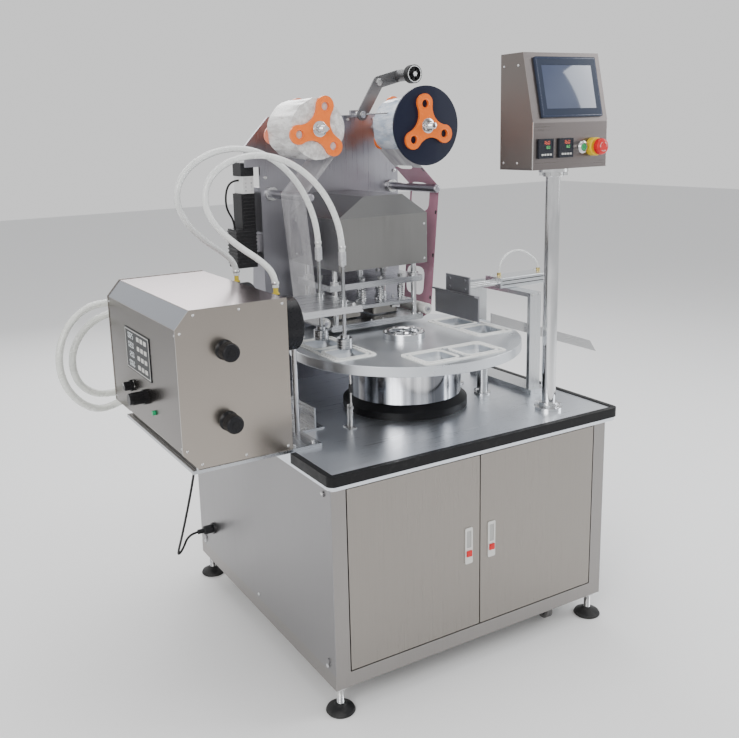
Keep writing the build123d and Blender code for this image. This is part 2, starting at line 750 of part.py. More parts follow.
def turntable_shaft():
    """The drive shaft up through table and drum, and the clamp hub on the disc."""
    shaft = rod(SHAFT_R, TURN_X, TURN_Y, BODY_TOP - 20, DISC_BOTTOM)
    shaft += rod(SHAFT_R + 18, TURN_X, TURN_Y, DISC_BOTTOM - 4, DISC_BOTTOM)
    hub = ring(HUB_R, HUB_BORE_R, TURN_X, TURN_Y, DISC_TOP, DISC_TOP + HUB_HEIGHT)
    hub = chamfer(hub.edges().group_by(Axis.Z)[-1], 1.5)
    cap = rod(HUB_BORE_R - 6, TURN_X, TURN_Y, DISC_TOP, DISC_TOP + 6)
    bolts = []
    for index in range(6):
        angle = radians(60 * index)
        x = TURN_X + 26 * cos(angle)
        y = TURN_Y + 26 * sin(angle)
        bolts.append(hex_nut(10, x, y, DISC_TOP + 6, DISC_TOP + 11))
    for bolt in bolts:
        cap += bolt
    return [shaft, hub, cap]


DRUM_BOTTOM = TABLE_Z + BASE_RING_HEIGHT
DRUM_TOP = DISC_BOTTOM - DRUM_CLEAR


def turntable_drum():
    """The polished drum that hides the drive under the disc: a shell with a lid bored for the shaft."""
    drum = ring(DRUM_R, DRUM_R - DRUM_WALL, TURN_X, TURN_Y, DRUM_BOTTOM, DRUM_TOP)
    drum += ring(DRUM_R, SHAFT_R + RUNNING, TURN_X, TURN_Y, DRUM_TOP - DRUM_LID, DRUM_TOP)
    return drum


def drum_base_ring():
    """The black ring between table and drum."""
    profile = Polyline((DRUM_R - 20, TABLE_Z), (BASE_RING_R, TABLE_Z), (BASE_RING_R, TABLE_Z + 20),
                       (DRUM_R - 3, DRUM_BOTTOM), (DRUM_R - 20, DRUM_BOTTOM), close=True)
    return Pos(TURN_X, TURN_Y, 0) * revolve(make_face(Plane.XZ * profile), Axis.Z)


def indexer():
    """Indexing gearbox hung under the table with its motor."""
    half = GEARBOX_SIDE / 2
    top = BODY_TOP - 20
    box = block(TURN_X - half, TURN_X + half, TURN_Y - half, TURN_Y + half, top - GEARBOX_HEIGHT, top)
    box = fillet(box.edges().filter_by(Axis.Z), 12)
    flange = slab(GEARBOX_SIDE + 60, GEARBOX_SIDE + 60, 20, TURN_X, TURN_Y, top, BODY_TOP)
    flange -= rod(SHAFT_R + 2, TURN_X, TURN_Y, top, BODY_TOP)
    drive_z = top - GEARBOX_HEIGHT / 2
    side = TURN_X - half
    neck = rod_x(38, side - 40, side, TURN_Y, drive_z)
    motor = rod_x(MOTOR_R, side - 40 - MOTOR_LENGTH, side - 40, TURN_Y, drive_z)
    return box + flange + neck + motor


def electrical_plate():
    """The mounting plate with the controller, drives and rails of terminals, on the right wall."""
    x = BODY_WIDTH - POST - 6
    plate = block(x, x + 3, 120, 720, 160, 500)
    for y, z, width, height, depth in ((150, 380, 120, 90, 60), (300, 380, 150, 90, 70), (480, 370, 90, 110, 90),
                                       (600, 370, 90, 110, 90), (150, 250, 540, 45, 45), (150, 180, 540, 40, 30)):
        plate += block(x - depth, x, y, y + width, z, z + height)
    return plate


# Display column

def display_column():
    """Polished tube with a bolted foot flange and a clamp flange under the display housing."""
    column = ring(COLUMN_R, COLUMN_R - COLUMN_WALL, COLUMN_X, COLUMN_Y, TABLE_Z, DISPLAY_BOTTOM)
    for z0 in (TABLE_Z, DISPLAY_BOTTOM - COLUMN_FLANGE):
        column += ring(COLUMN_FLANGE_R, COLUMN_R - COLUMN_WALL, COLUMN_X, COLUMN_Y, z0, z0 + COLUMN_FLANGE)
    for index in range(4):
        angle = radians(45 + 90 * index)
        x = COLUMN_X + 29 * cos(angle)
        y = COLUMN_Y + 29 * sin(angle)
        column += hex_nut(13, x, y, TABLE_Z + COLUMN_FLANGE, TABLE_Z + COLUMN_FLANGE + 9)
        column += hex_nut(13, x, y, DISPLAY_BOTTOM - COLUMN_FLANGE - 9, DISPLAY_BOTTOM - COLUMN_FLANGE)
    return column


DISPLAY_TOP = DISPLAY_BOTTOM + DISPLAY_HEIGHT
SLOPE_Z = DISPLAY_BOTTOM + DISPLAY_STRAIGHT
SLOPE_RISE = DISPLAY_TOP - SLOPE_Z
SLOPE_LENGTH = hypot(DISPLAY_SLOPE_RUN, SLOPE_RISE)
SLOPE_PLANE = Plane(origin=(DISPLAY_LEFT, DISPLAY_FRONT, SLOPE_Z), x_dir=(1, 0, 0),
                    z_dir=(0, -SLOPE_RISE, DISPLAY_SLOPE_RUN))
SCREEN_PLACE = SLOPE_PLANE * Pos(SCREEN_LEFT + SCREEN_WIDTH / 2, SLOPE_LENGTH - SCREEN_TOP - SCREEN_HEIGHT / 2)


def display_profile(inset):
    """Side outline of the display housing, set in by the sheet's thickness."""
    front = DISPLAY_FRONT + inset
    back = DISPLAY_BACK - inset
    return [(front, DISPLAY_BOTTOM + inset), (front, SLOPE_Z), (front + DISPLAY_SLOPE_RUN, DISPLAY_TOP - inset),
            (back, DISPLAY_TOP - inset), (back, DISPLAY_BOTTOM + inset)]


def display_housing():
    """Sheet steel housing with a sloped screen face, cut out for screen, controllers and buttons."""
    right = DISPLAY_LEFT + DISPLAY_WIDTH
    sheet = DISPLAY_SHEET
    housing = plate_yz(display_profile(0), DISPLAY_LEFT, right)
    housing -= plate_yz(display_profile(sheet), DISPLAY_LEFT + sheet, right - sheet)
    cut = SCREEN_PLACE * Box(SCREEN_WIDTH - 2 * SCREEN_LIP, SCREEN_HEIGHT - 2 * SCREEN_LIP, 12)
    housing -= cut
    inner = CONTROLLER_SIDE / 2 - CONTROLLER_LIP
    for x in CONTROLLER_X:
        housing -= block(x - inner, x + inner, DISPLAY_FRONT - 1, DISPLAY_FRONT + sheet + 1, CONTROL_Z - inner,
                         CONTROL_Z + inner)
    for x in (START_X, STOP_X):
        housing -= rod_y(CONTROL_BARREL_R, x, DISPLAY_FRONT - 1, DISPLAY_FRONT + sheet + 1, CONTROL_Z)
    housing -= rod(COLUMN_R - COLUMN_WALL, COLUMN_X, COLUMN_Y, DISPLAY_BOTTOM - 1, DISPLAY_BOTTOM + sheet + 1)
    return housing


def control_sockets():
    """Bezel of the start button and collar of the emergency stop, each with its hollow barrel."""
    sockets = []
    for x, radius, proud in ((START_X, BEZEL_R, BEZEL_PROUD), (STOP_X, COLLAR_R, COLLAR_PROUD)):
        front = DISPLAY_FRONT - proud
        socket = rod_y(radius, x, front, DISPLAY_FRONT, CONTROL_Z)
        socket = fillet(socket.edges().group_by(Axis.Y)[0], 2)
        socket += rod_y(CONTROL_BARREL_R, x, DISPLAY_FRONT, DISPLAY_FRONT + 40, CONTROL_Z)
        socket -= rod_y(CONTROL_BARREL_R - 2, x, front - 1, DISPLAY_FRONT + 38, CONTROL_Z)
        sockets.append(socket)
    return sockets


def display_panels():
    """Touch screen and the two temperature controllers."""
    bezel = SCREEN_PLACE * Pos(0, 0, SCREEN_PROUD / 2) * Box(SCREEN_WIDTH, SCREEN_HEIGHT, SCREEN_PROUD)
    bezel = fillet(bezel.edges().filter_by(lambda edge: abs(edge.length - SCREEN_PROUD) < 0.01), 4)
    bezel -= SCREEN_PLACE * Pos(0, 0, SCREEN_PROUD) * Box(SCREEN_WIDTH - 36, SCREEN_HEIGHT - 42, 1.6)
    body = SCREEN_PLACE * Pos(0, 0, -SCREEN_DEPTH / 2) * Box(
        SCREEN_WIDTH - 2 * SCREEN_LIP, SCREEN_HEIGHT - 2 * SCREEN_LIP, SCREEN_DEPTH)
    panels = [bezel + body]
    half = CONTROLLER_SIDE / 2
    inner = half - CONTROLLER_LIP
    for x in CONTROLLER_X:
        front = DISPLAY_FRONT - CONTROLLER_PROUD
        unit = block(x - half, x + half, front, DISPLAY_FRONT, CONTROL_Z - half, CONTROL_Z + half)
        unit = chamfer(unit.edges().group_by(Axis.Y)[0], 1.5)
        unit -= block(x - half + 5, x + half - 5, front - 1, front + 1, CONTROL_Z - 3, CONTROL_Z + half - 5)
        unit += block(x - inner, x + inner, DISPLAY_FRONT, DISPLAY_FRONT + CONTROLLER_DEPTH, CONTROL_Z - inner,
                      CONTROL_Z + inner)
        panels.append(unit)
    return panels


def start_button():
    """Green plunger that slides in its chrome bezel."""
    front = DISPLAY_FRONT - BEZEL_PROUD - 2
    button = rod_y(CONTROL_BARREL_R - 2 - RUNNING, START_X, front, DISPLAY_FRONT + 20, CONTROL_Z)
    return fillet(button.edges().group_by(Axis.Y)[0], 1)


def emergency_stop():
    """Red mushroom head on its stem."""
    front = DISPLAY_FRONT - COLLAR_PROUD
    stem = rod_y(CONTROL_BARREL_R - 2 - RUNNING, STOP_X, front - STOP_TRAVEL - 2, DISPLAY_FRONT + 20, CONTROL_Z)
    back = front - STOP_TRAVEL - 2
    head = rod_y(STOP_HEAD_R, STOP_X, back - 16, back, CONTROL_Z)
    head = fillet(head.edges().group_by(Axis.Y)[0], 6)
    head = fillet(head.edges().group_by(Axis.Y)[-1], 1.5)
    return stem + head


# Pump unit

def pump_outline(grow):
    """Front outline of the pump box, grown by an amount."""
    left = PUMP_LEFT - grow
    right = PUMP_RIGHT + grow
    low = SHELF_TOP
    high = PUMP_TOP + grow
    return [(left + PUMP_CHAMFER_RUN, low), (right, low), (right, high), (left + PUMP_CHAMFER_RUN, high),
            (left, high - PUMP_CHAMFER_RISE), (left, low + PUMP_CHAMFER_RISE)]


def pump_inner_outline():
    """Outline of the hollow inside the pump box."""
    sheet = PUMP_SHEET
    left = PUMP_LEFT + sheet
    right = PUMP_RIGHT - sheet
    low = SHELF_TOP + sheet
    high = PUMP_TOP - sheet
    return [(left + PUMP_CHAMFER_RUN, low), (right, low), (right, high), (left + PUMP_CHAMFER_RUN, high),
            (left, high - PUMP_CHAMFER_RISE), (left, low + PUMP_CHAMFER_RISE)]


def pump_box():
    """Wrapped sheet shell and the two flat end covers that overlap it slightly."""
    sheet = PUMP_SHEET
    shell = plate_xz(pump_outline(0), PUMP_FRONT + sheet, PUMP_BACK - sheet)
    shell -= plate_xz(pump_inner_outline(), PUMP_FRONT + sheet, PUMP_BACK - sheet)
    for y, low, radius in ((SELECTOR_Y, SELECTOR_LOW, 6), (SPEED_KNOB_Y, SPEED_KNOB_LOW, 6)):
        shell -= rod_x(radius, PUMP_LEFT - 1, PUMP_LEFT + sheet + 1, y, SHELF_TOP + low)
    front_cover = plate_xz(pump_outline(COVER_OVERHANG), PUMP_FRONT, PUMP_FRONT + sheet)
    rear_cover = plate_xz(pump_outline(COVER_OVERHANG), PUMP_BACK - sheet, PUMP_BACK)
    return [shell, front_cover, rear_cover]


def pump_shelf():
    """Shelf plate that is bolted to the table and carries the pump unit out to the left."""
    shelf = block(SHELF_LEFT, SHELF_RIGHT, SHELF_FRONT, SHELF_BACK, TABLE_Z, SHELF_TOP)
    bracket = block(SHELF_RIGHT, SHELF_RIGHT + 70, UPSTAND_FRONT, UPSTAND_BACK, TABLE_Z, TABLE_Z + UPSTAND_THICK)
    upstand_x = SHELF_RIGHT + 42
    bracket += block(upstand_x, upstand_x + UPSTAND_THICK, UPSTAND_FRONT, UPSTAND_BACK, TABLE_Z,
                     TABLE_Z + UPSTAND_HEIGHT)
    shelf += bracket
    shelf -= rod(MAINS_R + 3, MAINS_EXIT_X, MAINS_EXIT_Y, TABLE_Z, SHELF_TOP)
    return shelf


def pump_keypad():
    """Membrane keypad with its display, and the green lamp below it."""
    z0 = SHELF_TOP + KEYPAD_LOW
    pad = block(PUMP_LEFT - KEYPAD_THICK, PUMP_LEFT, KEYPAD_FRONT, KEYPAD_BACK, z0, z0 + KEYPAD_HEIGHT)
    lamp = rod_x(6, PUMP_LEFT - 7, PUMP_LEFT, LAMP_Y, SHELF_TOP + LAMP_LOW)
    return [pad, lamp]


def pump_heads():
    """Two round pump heads on the right side with their outlet barbs, and the buffers of the front cover."""
    pieces = []
    axis_z = SHELF_TOP + PUMP_AXIS_LOW
    for y in PUMP_CENTRES:
        head = rod_x(PUMP_BODY_R, PUMP_RIGHT, PUMP_RIGHT + PUMP_BODY_LENGTH, y, axis_z)
        head = fillet(head.edges().group_by(Axis.X)[-1], 5)
        head += rod_x(PUMP_BODY_R - 18, PUMP_RIGHT + PUMP_BODY_LENGTH, PUMP_RIGHT + PUMP_BODY_LENGTH + 6, y, axis_z)
        barb_y = y + BARB_OFFSET
        barb_x = PUMP_RIGHT + BARB_X
        head += rod(BARB_R + 3, barb_x, barb_y, axis_z, BARB_TOP - 14)
        head += rod(BARB_R, barb_x, barb_y, BARB_TOP - 14, BARB_TOP)
        pieces.append(head)
    for index in range(2):
        z = SHELF_TOP + BUFFER_LOW + BUFFER_PITCH * index
        buffer = rod_y(BUFFER_R - 6, BUFFER_X, PUMP_FRONT - 12, PUMP_FRONT, z)
        cap = rod_y(BUFFER_R, BUFFER_X, PUMP_FRONT - BUFFER_LENGTH, PUMP_FRONT - 12, z)
        cap = fillet(cap.edges().filter_by(GeomType.CIRCLE), 5)
        pieces.append(buffer + cap)
    return pieces


def side_knob(y, low, radius, length, neck):
    """A turned knob on the left face of the pump box, with its spindle through the sheet."""
    z = SHELF_TOP + low
    x = PUMP_LEFT - SLIDE
    knob = rod_x(radius, x - length, x - neck, y, z)
    knob = chamfer(knob.edges().group_by(Axis.X)[0], 1.5)
    knob += rod_x(radius + 4, x - neck, x, y, z)
    knob += rod_x(6 - RUNNING, x, PUMP_LEFT + 22, y, z)
    return knob


# Filling nozzles

NOZZLE_YS = (TURN_Y - CAVITY_PITCH / 2, TURN_Y + CAVITY_PITCH / 2)


def filling_nozzles():
    """Two nozzles held by a plate over the left station; the plate stands on a post on the shelf."""
    plate = slab(NOZZLE_PLATE_RIGHT - NOZZLE_PLATE_LEFT, NOZZLE_PLATE_BACK - NOZZLE_PLATE_FRONT, 4,
                 (NOZZLE_PLATE_LEFT + NOZZLE_PLATE_RIGHT) / 2, (NOZZLE_PLATE_FRONT + NOZZLE_PLATE_BACK) / 2,
                 NOZZLE_PLATE_Z, NOZZLE_PLATE_Z + NOZZLE_PLATE_THICK)
    plate += rod(NOZZLE_POST_R, NOZZLE_POST_X, NOZZLE_POST_Y, SHELF_TOP, NOZZLE_PLATE_Z)
    return plate


def nozzle(y):
    """One nozzle: a tube through the plate with a collar and a wide drip-free head."""
    low = DISC_TOP + NOZZLE_ABOVE_DISC
    top = low + NOZZLE_HEAD_HEIGHT
    tube = rod(NOZZLE_TUBE_R, NOZZLE_X, y, top, NOZZLE_TUBE_TOP)
    head = rod(NOZZLE_HEAD_R, NOZZLE_X, y, low, top)
    head = chamfer(head.edges().filter_by(GeomType.CIRCLE), 1.5)
    head += rod(NOZZLE_HEAD_R - 8, NOZZLE_X, y, top, top + 8)
    collar = rod(NOZZLE_TUBE_R + 4, NOZZLE_X, y, NOZZLE_PLATE_Z + NOZZLE_PLATE_THICK,
                 NOZZLE_PLATE_Z + NOZZLE_PLATE_THICK + 12)
    sleeve = rod(CONNECTOR_R, NOZZLE_X, y, NOZZLE_TUBE_TOP - 8, NOZZLE_TUBE_TOP + CONNECTOR_HEIGHT - 8)
    return head + tube + collar + sleeve


# Sealing head

def head_plate():
    """The upright plate that carries the film reels: stepped wings, sloped shoulders, foot and side webs."""
    half = HEAD_HALF
    outline = [(-half, TABLE_Z), (half, TABLE_Z), (half, WING_BOTTOM), (HEAD_WING, WING_BOTTOM),
               (HEAD_WING, WING_TOP), (SHOULDER_HALF, SHOULDER_Z), (SHOULDER_HALF - 60, HEAD_TOP),
               (-SHOULDER_HALF + 60, HEAD_TOP), (-SHOULDER_HALF, SHOULDER_Z), (-HEAD_WING, WING_TOP),
               (-HEAD_WING, WING_BOTTOM), (-half, WING_BOTTOM)]
    points = [(TURN_X + x, z) for x, z in outline]
    back = HEAD_FRONT + HEAD_THICK
    plate = plate_xz(points, HEAD_FRONT, back)
    for side in (-1, 1):
        outer = TURN_X + side * half
        x0, x1 = sorted((outer, outer - side * HEAD_THICK))
        plate += plate_yz([(back, TABLE_Z), (back + HEAD_SIDE_DEPTH, TABLE_Z), (back + HEAD_SIDE_DEPTH, TABLE_Z + 160),
                           (back + 40, HEAD_SIDE_TOP), (back, HEAD_SIDE_TOP)], x0, x1)
    plate += block(TURN_X - half, TURN_X + half, back, back + HEAD_SIDE_DEPTH, TABLE_Z, TABLE_Z + HEAD_FOOT)
    plate += block(ARM_PIVOT_X - 15, ARM_PIVOT_X + 15, HEAD_FRONT, back, HEAD_TOP - 10, ARM_PIVOT_Z + 14)
    for side in (-1, 1):
        plate -= rod_y(REEL_SHAFT_R + RUNNING, TURN_X + side * REEL_HALF, HEAD_FRONT - 1, back + 1, REEL_Z)
    plate -= rod_y(ARM_AXLE_R + RUNNING, ARM_PIVOT_X, HEAD_FRONT - 1, back + 1, ARM_PIVOT_Z)
    return plate


def guide_bar(side):
    """A fixed bar with a rounded nose that the film slides over."""
    x = TURN_X + side * BAR_HALF
    bar = rod_y(BAR_R, x, BAR_FRONT, HEAD_FRONT, BAR_Z)
    return fillet(bar.edges().group_by(Axis.Y)[0], BAR_R * 0.6)


def hood_outline(inset):
    """Front outline of the press hood, open below."""
    half = HOOD_HALF - inset
    top_half = HOOD_TOP_HALF
    low = HOOD_BOTTOM - (1 if inset else 0)
    outline = [(-half, low), (-half, HOOD_SHOULDER), (-top_half, HOOD_TOP - inset), (top_half, HOOD_TOP - inset),
               (half, HOOD_SHOULDER), (half, low)]
    return [(TURN_X + x, z) for x, z in outline]


def press_hood():
    """Sheet hood over the press cylinder: front, sides and top, open at the bottom."""
    hood = plate_xz(hood_outline(0), HOOD_FRONT, HEAD_FRONT)
    hood -= plate_xz(hood_outline(HOOD_SHEET), HOOD_FRONT + HOOD_SHEET, HEAD_FRONT + 1)
    return hood


def post_places():
    """The four guide posts of the press."""
    for side in (-1, 1):
        for y in (POST_FRONT, POST_BACK):
            yield TURN_X + side * POST_HALF, y


GUIDE_TOP = GUIDE_Z + GUIDE_THICK


def head_slab(margin, z0, z1):
    """The outline of both sealing heads over the rear station."""
    pair = None
    for side in (-1, 1):
        one = slab(HEAD_LONG + 2 * margin, HEAD_WIDE + 2 * margin, HEAD_CORNER, TURN_X + side * CAVITY_PITCH / 2,
                   SEAL_Y, z0, z1)
        pair = one if pair is None else pair + one
    return pair


def film_guide():
    """The fixed lower plate with a window for each sealing head and rounded ends that lead the film."""
    guide = block(TURN_X - FRAME_HALF, TURN_X + FRAME_HALF, GUIDE_FRONT, GUIDE_BACK, GUIDE_Z, GUIDE_TOP)
    guide = fillet(guide.edges().filter_by(Axis.Y), GUIDE_END_R)
    for side in (-1, 1):
        x0 = TURN_X + side * 60
        guide += block(x0 - 16, x0 + 16, GUIDE_BACK, HEAD_FRONT, GUIDE_Z, GUIDE_TOP)
    guide -= head_slab(3, GUIDE_Z - 1, GUIDE_TOP + 1)
    for x, y in post_places():
        guide += rod(POST_R, x, y, GUIDE_TOP, BRIDGE_Z)
    return guide


def press_bridge():
    """The thick plate inside the hood that carries the cylinder."""
    bridge = block(TURN_X - HOOD_HALF + 6, TURN_X + HOOD_HALF - 6, POST_FRONT - 14, HEAD_FRONT, BRIDGE_Z,
                   BRIDGE_Z + BRIDGE_THICK)
    return bridge - rod(ROD_R + RUNNING, TURN_X, SEAL_Y, BRIDGE_Z - 1, BRIDGE_Z + BRIDGE_THICK + 1)


def press_cylinder():
    """Square air cylinder with a blind bore for the rod."""
    half = CYLINDER_SIDE / 2
    z0 = BRIDGE_Z + BRIDGE_THICK
    body = block(TURN_X - half, TURN_X + half, SEAL_Y - half, SEAL_Y + half, z0, z0 + CYLINDER_HEIGHT)
    body = fillet(body.edges().filter_by(Axis.Z), 8)
    return body - rod(ROD_R + RUNNING, TURN_X, SEAL_Y, z0 - 1, z0 + CYLINDER_HEIGHT - 10)


def press_plates():
    """The moving part of the press: two plates joined by spring bolts, the rod, and two sealing heads."""
    def plate(half, z0, thick):
        piece = block(TURN_X - half, TURN_X + half, POST_FRONT - 14, POST_BACK + 14, z0, z0 + thick)
        return piece

    upper = plate(FRAME_HALF, UPPER_Z, UPPER_THICK)
    lower = plate(PRESS_HALF, PRESS_Z, PRESS_THICK)
    for x, y in post_places():
        upper -= rod(POST_R + RUNNING, x, y, UPPER_Z - 1, UPPER_Z + UPPER_THICK + 1)
    rod_top = BRIDGE_Z + BRIDGE_THICK + 70
    upper += rod(ROD_R, TURN_X, SEAL_Y, UPPER_Z + UPPER_THICK, rod_top)
    press = upper + lower
    for side in (-1, 1):
        for offset in (-100, -30, 30, 100):
            y = SEAL_Y + side * 62
            press += rod(5, TURN_X + offset, y, PRESS_Z + PRESS_THICK, UPPER_Z)
            press += rod(8, TURN_X + offset, y, PRESS_Z + PRESS_THICK + 6, UPPER_Z - 14)
    seal_z = DISC_TOP + GASKET_PROUD + SEAL_GAP + PRESS_STROKE
    press += head_slab(0, seal_z, PRESS_Z)
    return press


# Reels

def lobe_nut(x, y, first):
    """Three-lobed clamp plate: round lobes joined by hollow flanks, with a hole in each lobe."""
    reach = LOBE_TIP_R - LOBE_END_R
    step = LOBE_END_R - LOBE_WAIST_R
    hollow = (reach ** 2 - step ** 2) / (reach + 2 * step)
    corners = []
    for index in range(3):
        angle = radians(first + 120 * index)
        corners.append((reach * cos(angle), reach * sin(angle)))
        corners.append((hollow * cos(angle + pi / 3), hollow * sin(angle + pi / 3)))
    blank = make_face(Polyline(*corners, close=True))
    for index in range(3):
        turn = Rot(0, 0, first + 120 * index)
        blank += turn * Pos(reach, 0) * Circle(LOBE_END_R)
        blank -= turn * Rot(0, 0, 60) * Pos(hollow, 0) * Circle(hollow - LOBE_WAIST_R)
        blank -= turn * Pos(LOBE_HOLE_RADIUS, 0) * Circle(LOBE_HOLE_R)
    blank -= Circle(REEL_SHAFT_R)
    return Pos(x, y + LOBE_THICK, REEL_Z) * Rot(90, 0, 0) * extrude(blank, LOBE_THICK)


def reel_shaft(x, back, nut_y):
    """Spindle of a reel, with the lock nut in front of its clamp plate."""
    shaft = rod_y(REEL_SHAFT_R, x, REEL_SHAFT_FRONT, back, REEL_Z)
    nut = Pos(x, nut_y, REEL_Z) * Rot(90, 0, 0) * extrude(RegularPolygon(13, 6, major_radius=False), 8)
    return shaft + nut


def film_roll(x, radius):
    """Wound film on a cardboard core."""
    roll = ring_y(radius, CORE_BORE_R, x, ROLL_FRONT, ROLL_BACK, REEL_Z)
    return roll


# Film path. Each circle that the film touches is given with its sign: +1 where it lies on the film's
# left as the film travels from the supply roll to the take-up roll, -1 where it lies on its right.

def film_circles():
    """Centres, radii and signs of rolls, bars, rollers and guide plate ends, in the order of travel."""
    clear = GAP + FILM / 2
    end = GUIDE_END_R
    left = [(-REEL_HALF, REEL_Z, SUPPLY_ROLL_R, -1), (-BAR_HALF, BAR_Z, BAR_R, 1),
            (-ROLLER_HALF, ROLLER_Z, ROLLER_R, 1), (-FRAME_HALF + end, GUIDE_Z + end, end, 1)]
    right = [(FRAME_HALF - end, GUIDE_Z + end, end, 1), (ROLLER_HALF, ROLLER_Z, ROLLER_R, 1),
             (BAR_HALF, BAR_Z, BAR_R, 1), (REEL_HALF, REEL_Z, WASTE_ROLL_R, -1)]
    return [(TURN_X + x, z, r + clear, sign) for x, z, r, sign in left + right]


def film_directions(circles):
    """Direction of the straight film between each pair of circles, as one steadily turning angle."""
    angles = []
    for (x0, z0, r0, s0), (x1, z1, r1, s1) in zip(circles, circles[1:]):
        distance = hypot(x1 - x0, z1 - z0)
        angle = atan2(z1 - z0, x1 - x0) - asin((s1 * r1 - s0 * r0) / distance)
        while angles and angle < angles[-1] - 0.01:
            angle += 2 * pi
        angles.append(angle)
    return angles


def film_side(circles, angles, offset):
    """One face of the film in the XZ plane: straight stretches joined by arcs round the circles."""
    def touch(circle, angle):
        x, z, radius, sign = circle
        reach = offset - sign * radius
        return (x - reach * sin(angle), z + reach * cos(angle))

    edges = []
    for index, angle in enumerate(angles):
        first = touch(circles[index], angle)
        second = touch(circles[index + 1], angle)
        edges.append(Line(first, second))
        if index + 1 < len(angles):
            following = angles[index + 1]
            if following - angle > 0.001:
                middle = touch(circles[index + 1], (angle + following) / 2)
                edges.append(ThreePointArc(second, middle, touch(circles[index + 1], following)))
    return edges


def film_web():
    """The film between the reels, cut out where the heads pass."""
    circles = film_circles()
    angles = film_directions(circles)
    upper = film_side(circles, angles, FILM / 2)
    lower = film_side(circles, angles, -FILM / 2)
    ends = [Line(upper[0] @ 0, lower[0] @ 0), Line(upper[-1] @ 1, lower[-1] @ 1)]
    outline = Plane.XZ * make_face(upper + lower + ends)
    web = Pos(0, FILM_FRONT, 0) * extrude(outline, FILM_BACK - FILM_FRONT, dir=(0, 1, 0))
    return web - head_slab(2, GUIDE_Z - 4, GUIDE_Z + 1)


def film_roller(side):
    """Lower film roller with its bearing bore."""
    x = TURN_X + side * ROLLER_HALF
    roller = rod_y(ROLLER_R, x, ROLLER_FRONT, ROLLER_BACK, ROLLER_Z)
    roller = chamfer(roller.edges().filter_by(GeomType.CIRCLE), 1.2)
    return roller - rod_y(ROLLER_PIN_R + RUNNING, x, ROLLER_FRONT - 1, ROLLER_BACK + 1, ROLLER_Z)


def roller_pin(side):
    """The fixed pin of a film roller, cantilevered from the head plate."""
    x = TURN_X + side * ROLLER_HALF
    pin = rod_y(ROLLER_PIN_R, x, ROLLER_FRONT - 4, HEAD_FRONT, ROLLER_Z)
    pin += rod_y(9, x, ROLLER_BACK + 3, HEAD_FRONT, ROLLER_Z)
    return pin


def film_drives():
    """Take-up gear motor and supply brake behind the plate, and the motor column beside it."""
    back = HEAD_FRONT + HEAD_THICK
    right = TURN_X + REEL_HALF
    left = TURN_X - REEL_HALF
    motor = rod_y(REAR_MOTOR_R, right, back, back + REAR_MOTOR_LENGTH, REEL_Z)
    motor -= rod_y(REEL_SHAFT_R + RUNNING, right, back - 1, back + 31, REEL_Z)
    brake = rod_y(BRAKE_R, left, back, back + BRAKE_LENGTH, REEL_Z)
    brake -= rod_y(REEL_SHAFT_R + RUNNING, left, back - 1, back + 31, REEL_Z)
    x, y = FILM_MOTOR_X, FILM_MOTOR_Y
    lower = block(x - 52, x + 13, y - 25, y + 45, 966, 1080)
    lower = fillet(lower.edges().filter_by(Axis.Z), 6)
    body = block(x - 30, x + 13, y - 22, y + 40, 1080, 1183)
    box = block(x - 24, x + 10, y - 25, y + 40, 1183, 1235)
    cap = block(x - 28, x + 13, y - 22, y + 36, 1235, 1273)
    foot = block(x + 13, TURN_X - HEAD_HALF, y - 20, y + 30, 1010, 1060)
    return [motor, brake, lower + body + box + cap + foot]


# Measuring arm

def arm_strap(x0, z0, x1, z1):
    """A flat strap with round ends between two points of the arm."""
    half = ARM_WIDTH / 2
    dx = x1 - x0
    dz = z1 - z0
    length = hypot(dx, dz)
    nx = -dz / length * half
    nz = dx / length * half
    back = ARM_FRONT + ARM_THICK
    strap = plate_xz([(x0 + nx, z0 + nz), (x1 + nx, z1 + nz), (x1 - nx, z1 - nz), (x0 - nx, z0 - nz)], ARM_FRONT, back)
    strap += rod_y(half, x0, ARM_FRONT, back, z0)
    strap += rod_y(half, x1, ARM_FRONT, back, z1)
    return strap


def measuring_arm():
    """Bent arm on its pivot with a stub axle for the wheel and a lift pin at the front."""
    arm = arm_strap(ARM_PIVOT_X, ARM_PIVOT_Z, ARM_KNEE_X, ARM_KNEE_Z)
    arm += arm_strap(ARM_KNEE_X, ARM_KNEE_Z, ARM_WHEEL_X, ARM_WHEEL_Z)
    arm += rod_y(9, ARM_PIVOT_X, ARM_FRONT + ARM_THICK, HEAD_FRONT - GAP, ARM_PIVOT_Z)
    arm += rod_y(ARM_AXLE_R, ARM_PIVOT_X, HEAD_FRONT - GAP, HEAD_FRONT + HEAD_THICK + 8, ARM_PIVOT_Z)
    arm += rod_y(LIFT_PIN_R, ARM_PIVOT_X, ARM_FRONT - LIFT_PIN_LENGTH, ARM_FRONT, ARM_PIVOT_Z)
    arm += rod_y(18, ARM_WHEEL_X, WHEEL_FRONT + WHEEL_WIDTH + 4, ARM_FRONT, ARM_WHEEL_Z)
    arm += rod_y(ARM_AXLE_R, ARM_WHEEL_X, WHEEL_FRONT - 3, WHEEL_FRONT + WHEEL_WIDTH + 4, ARM_WHEEL_Z)
    return arm


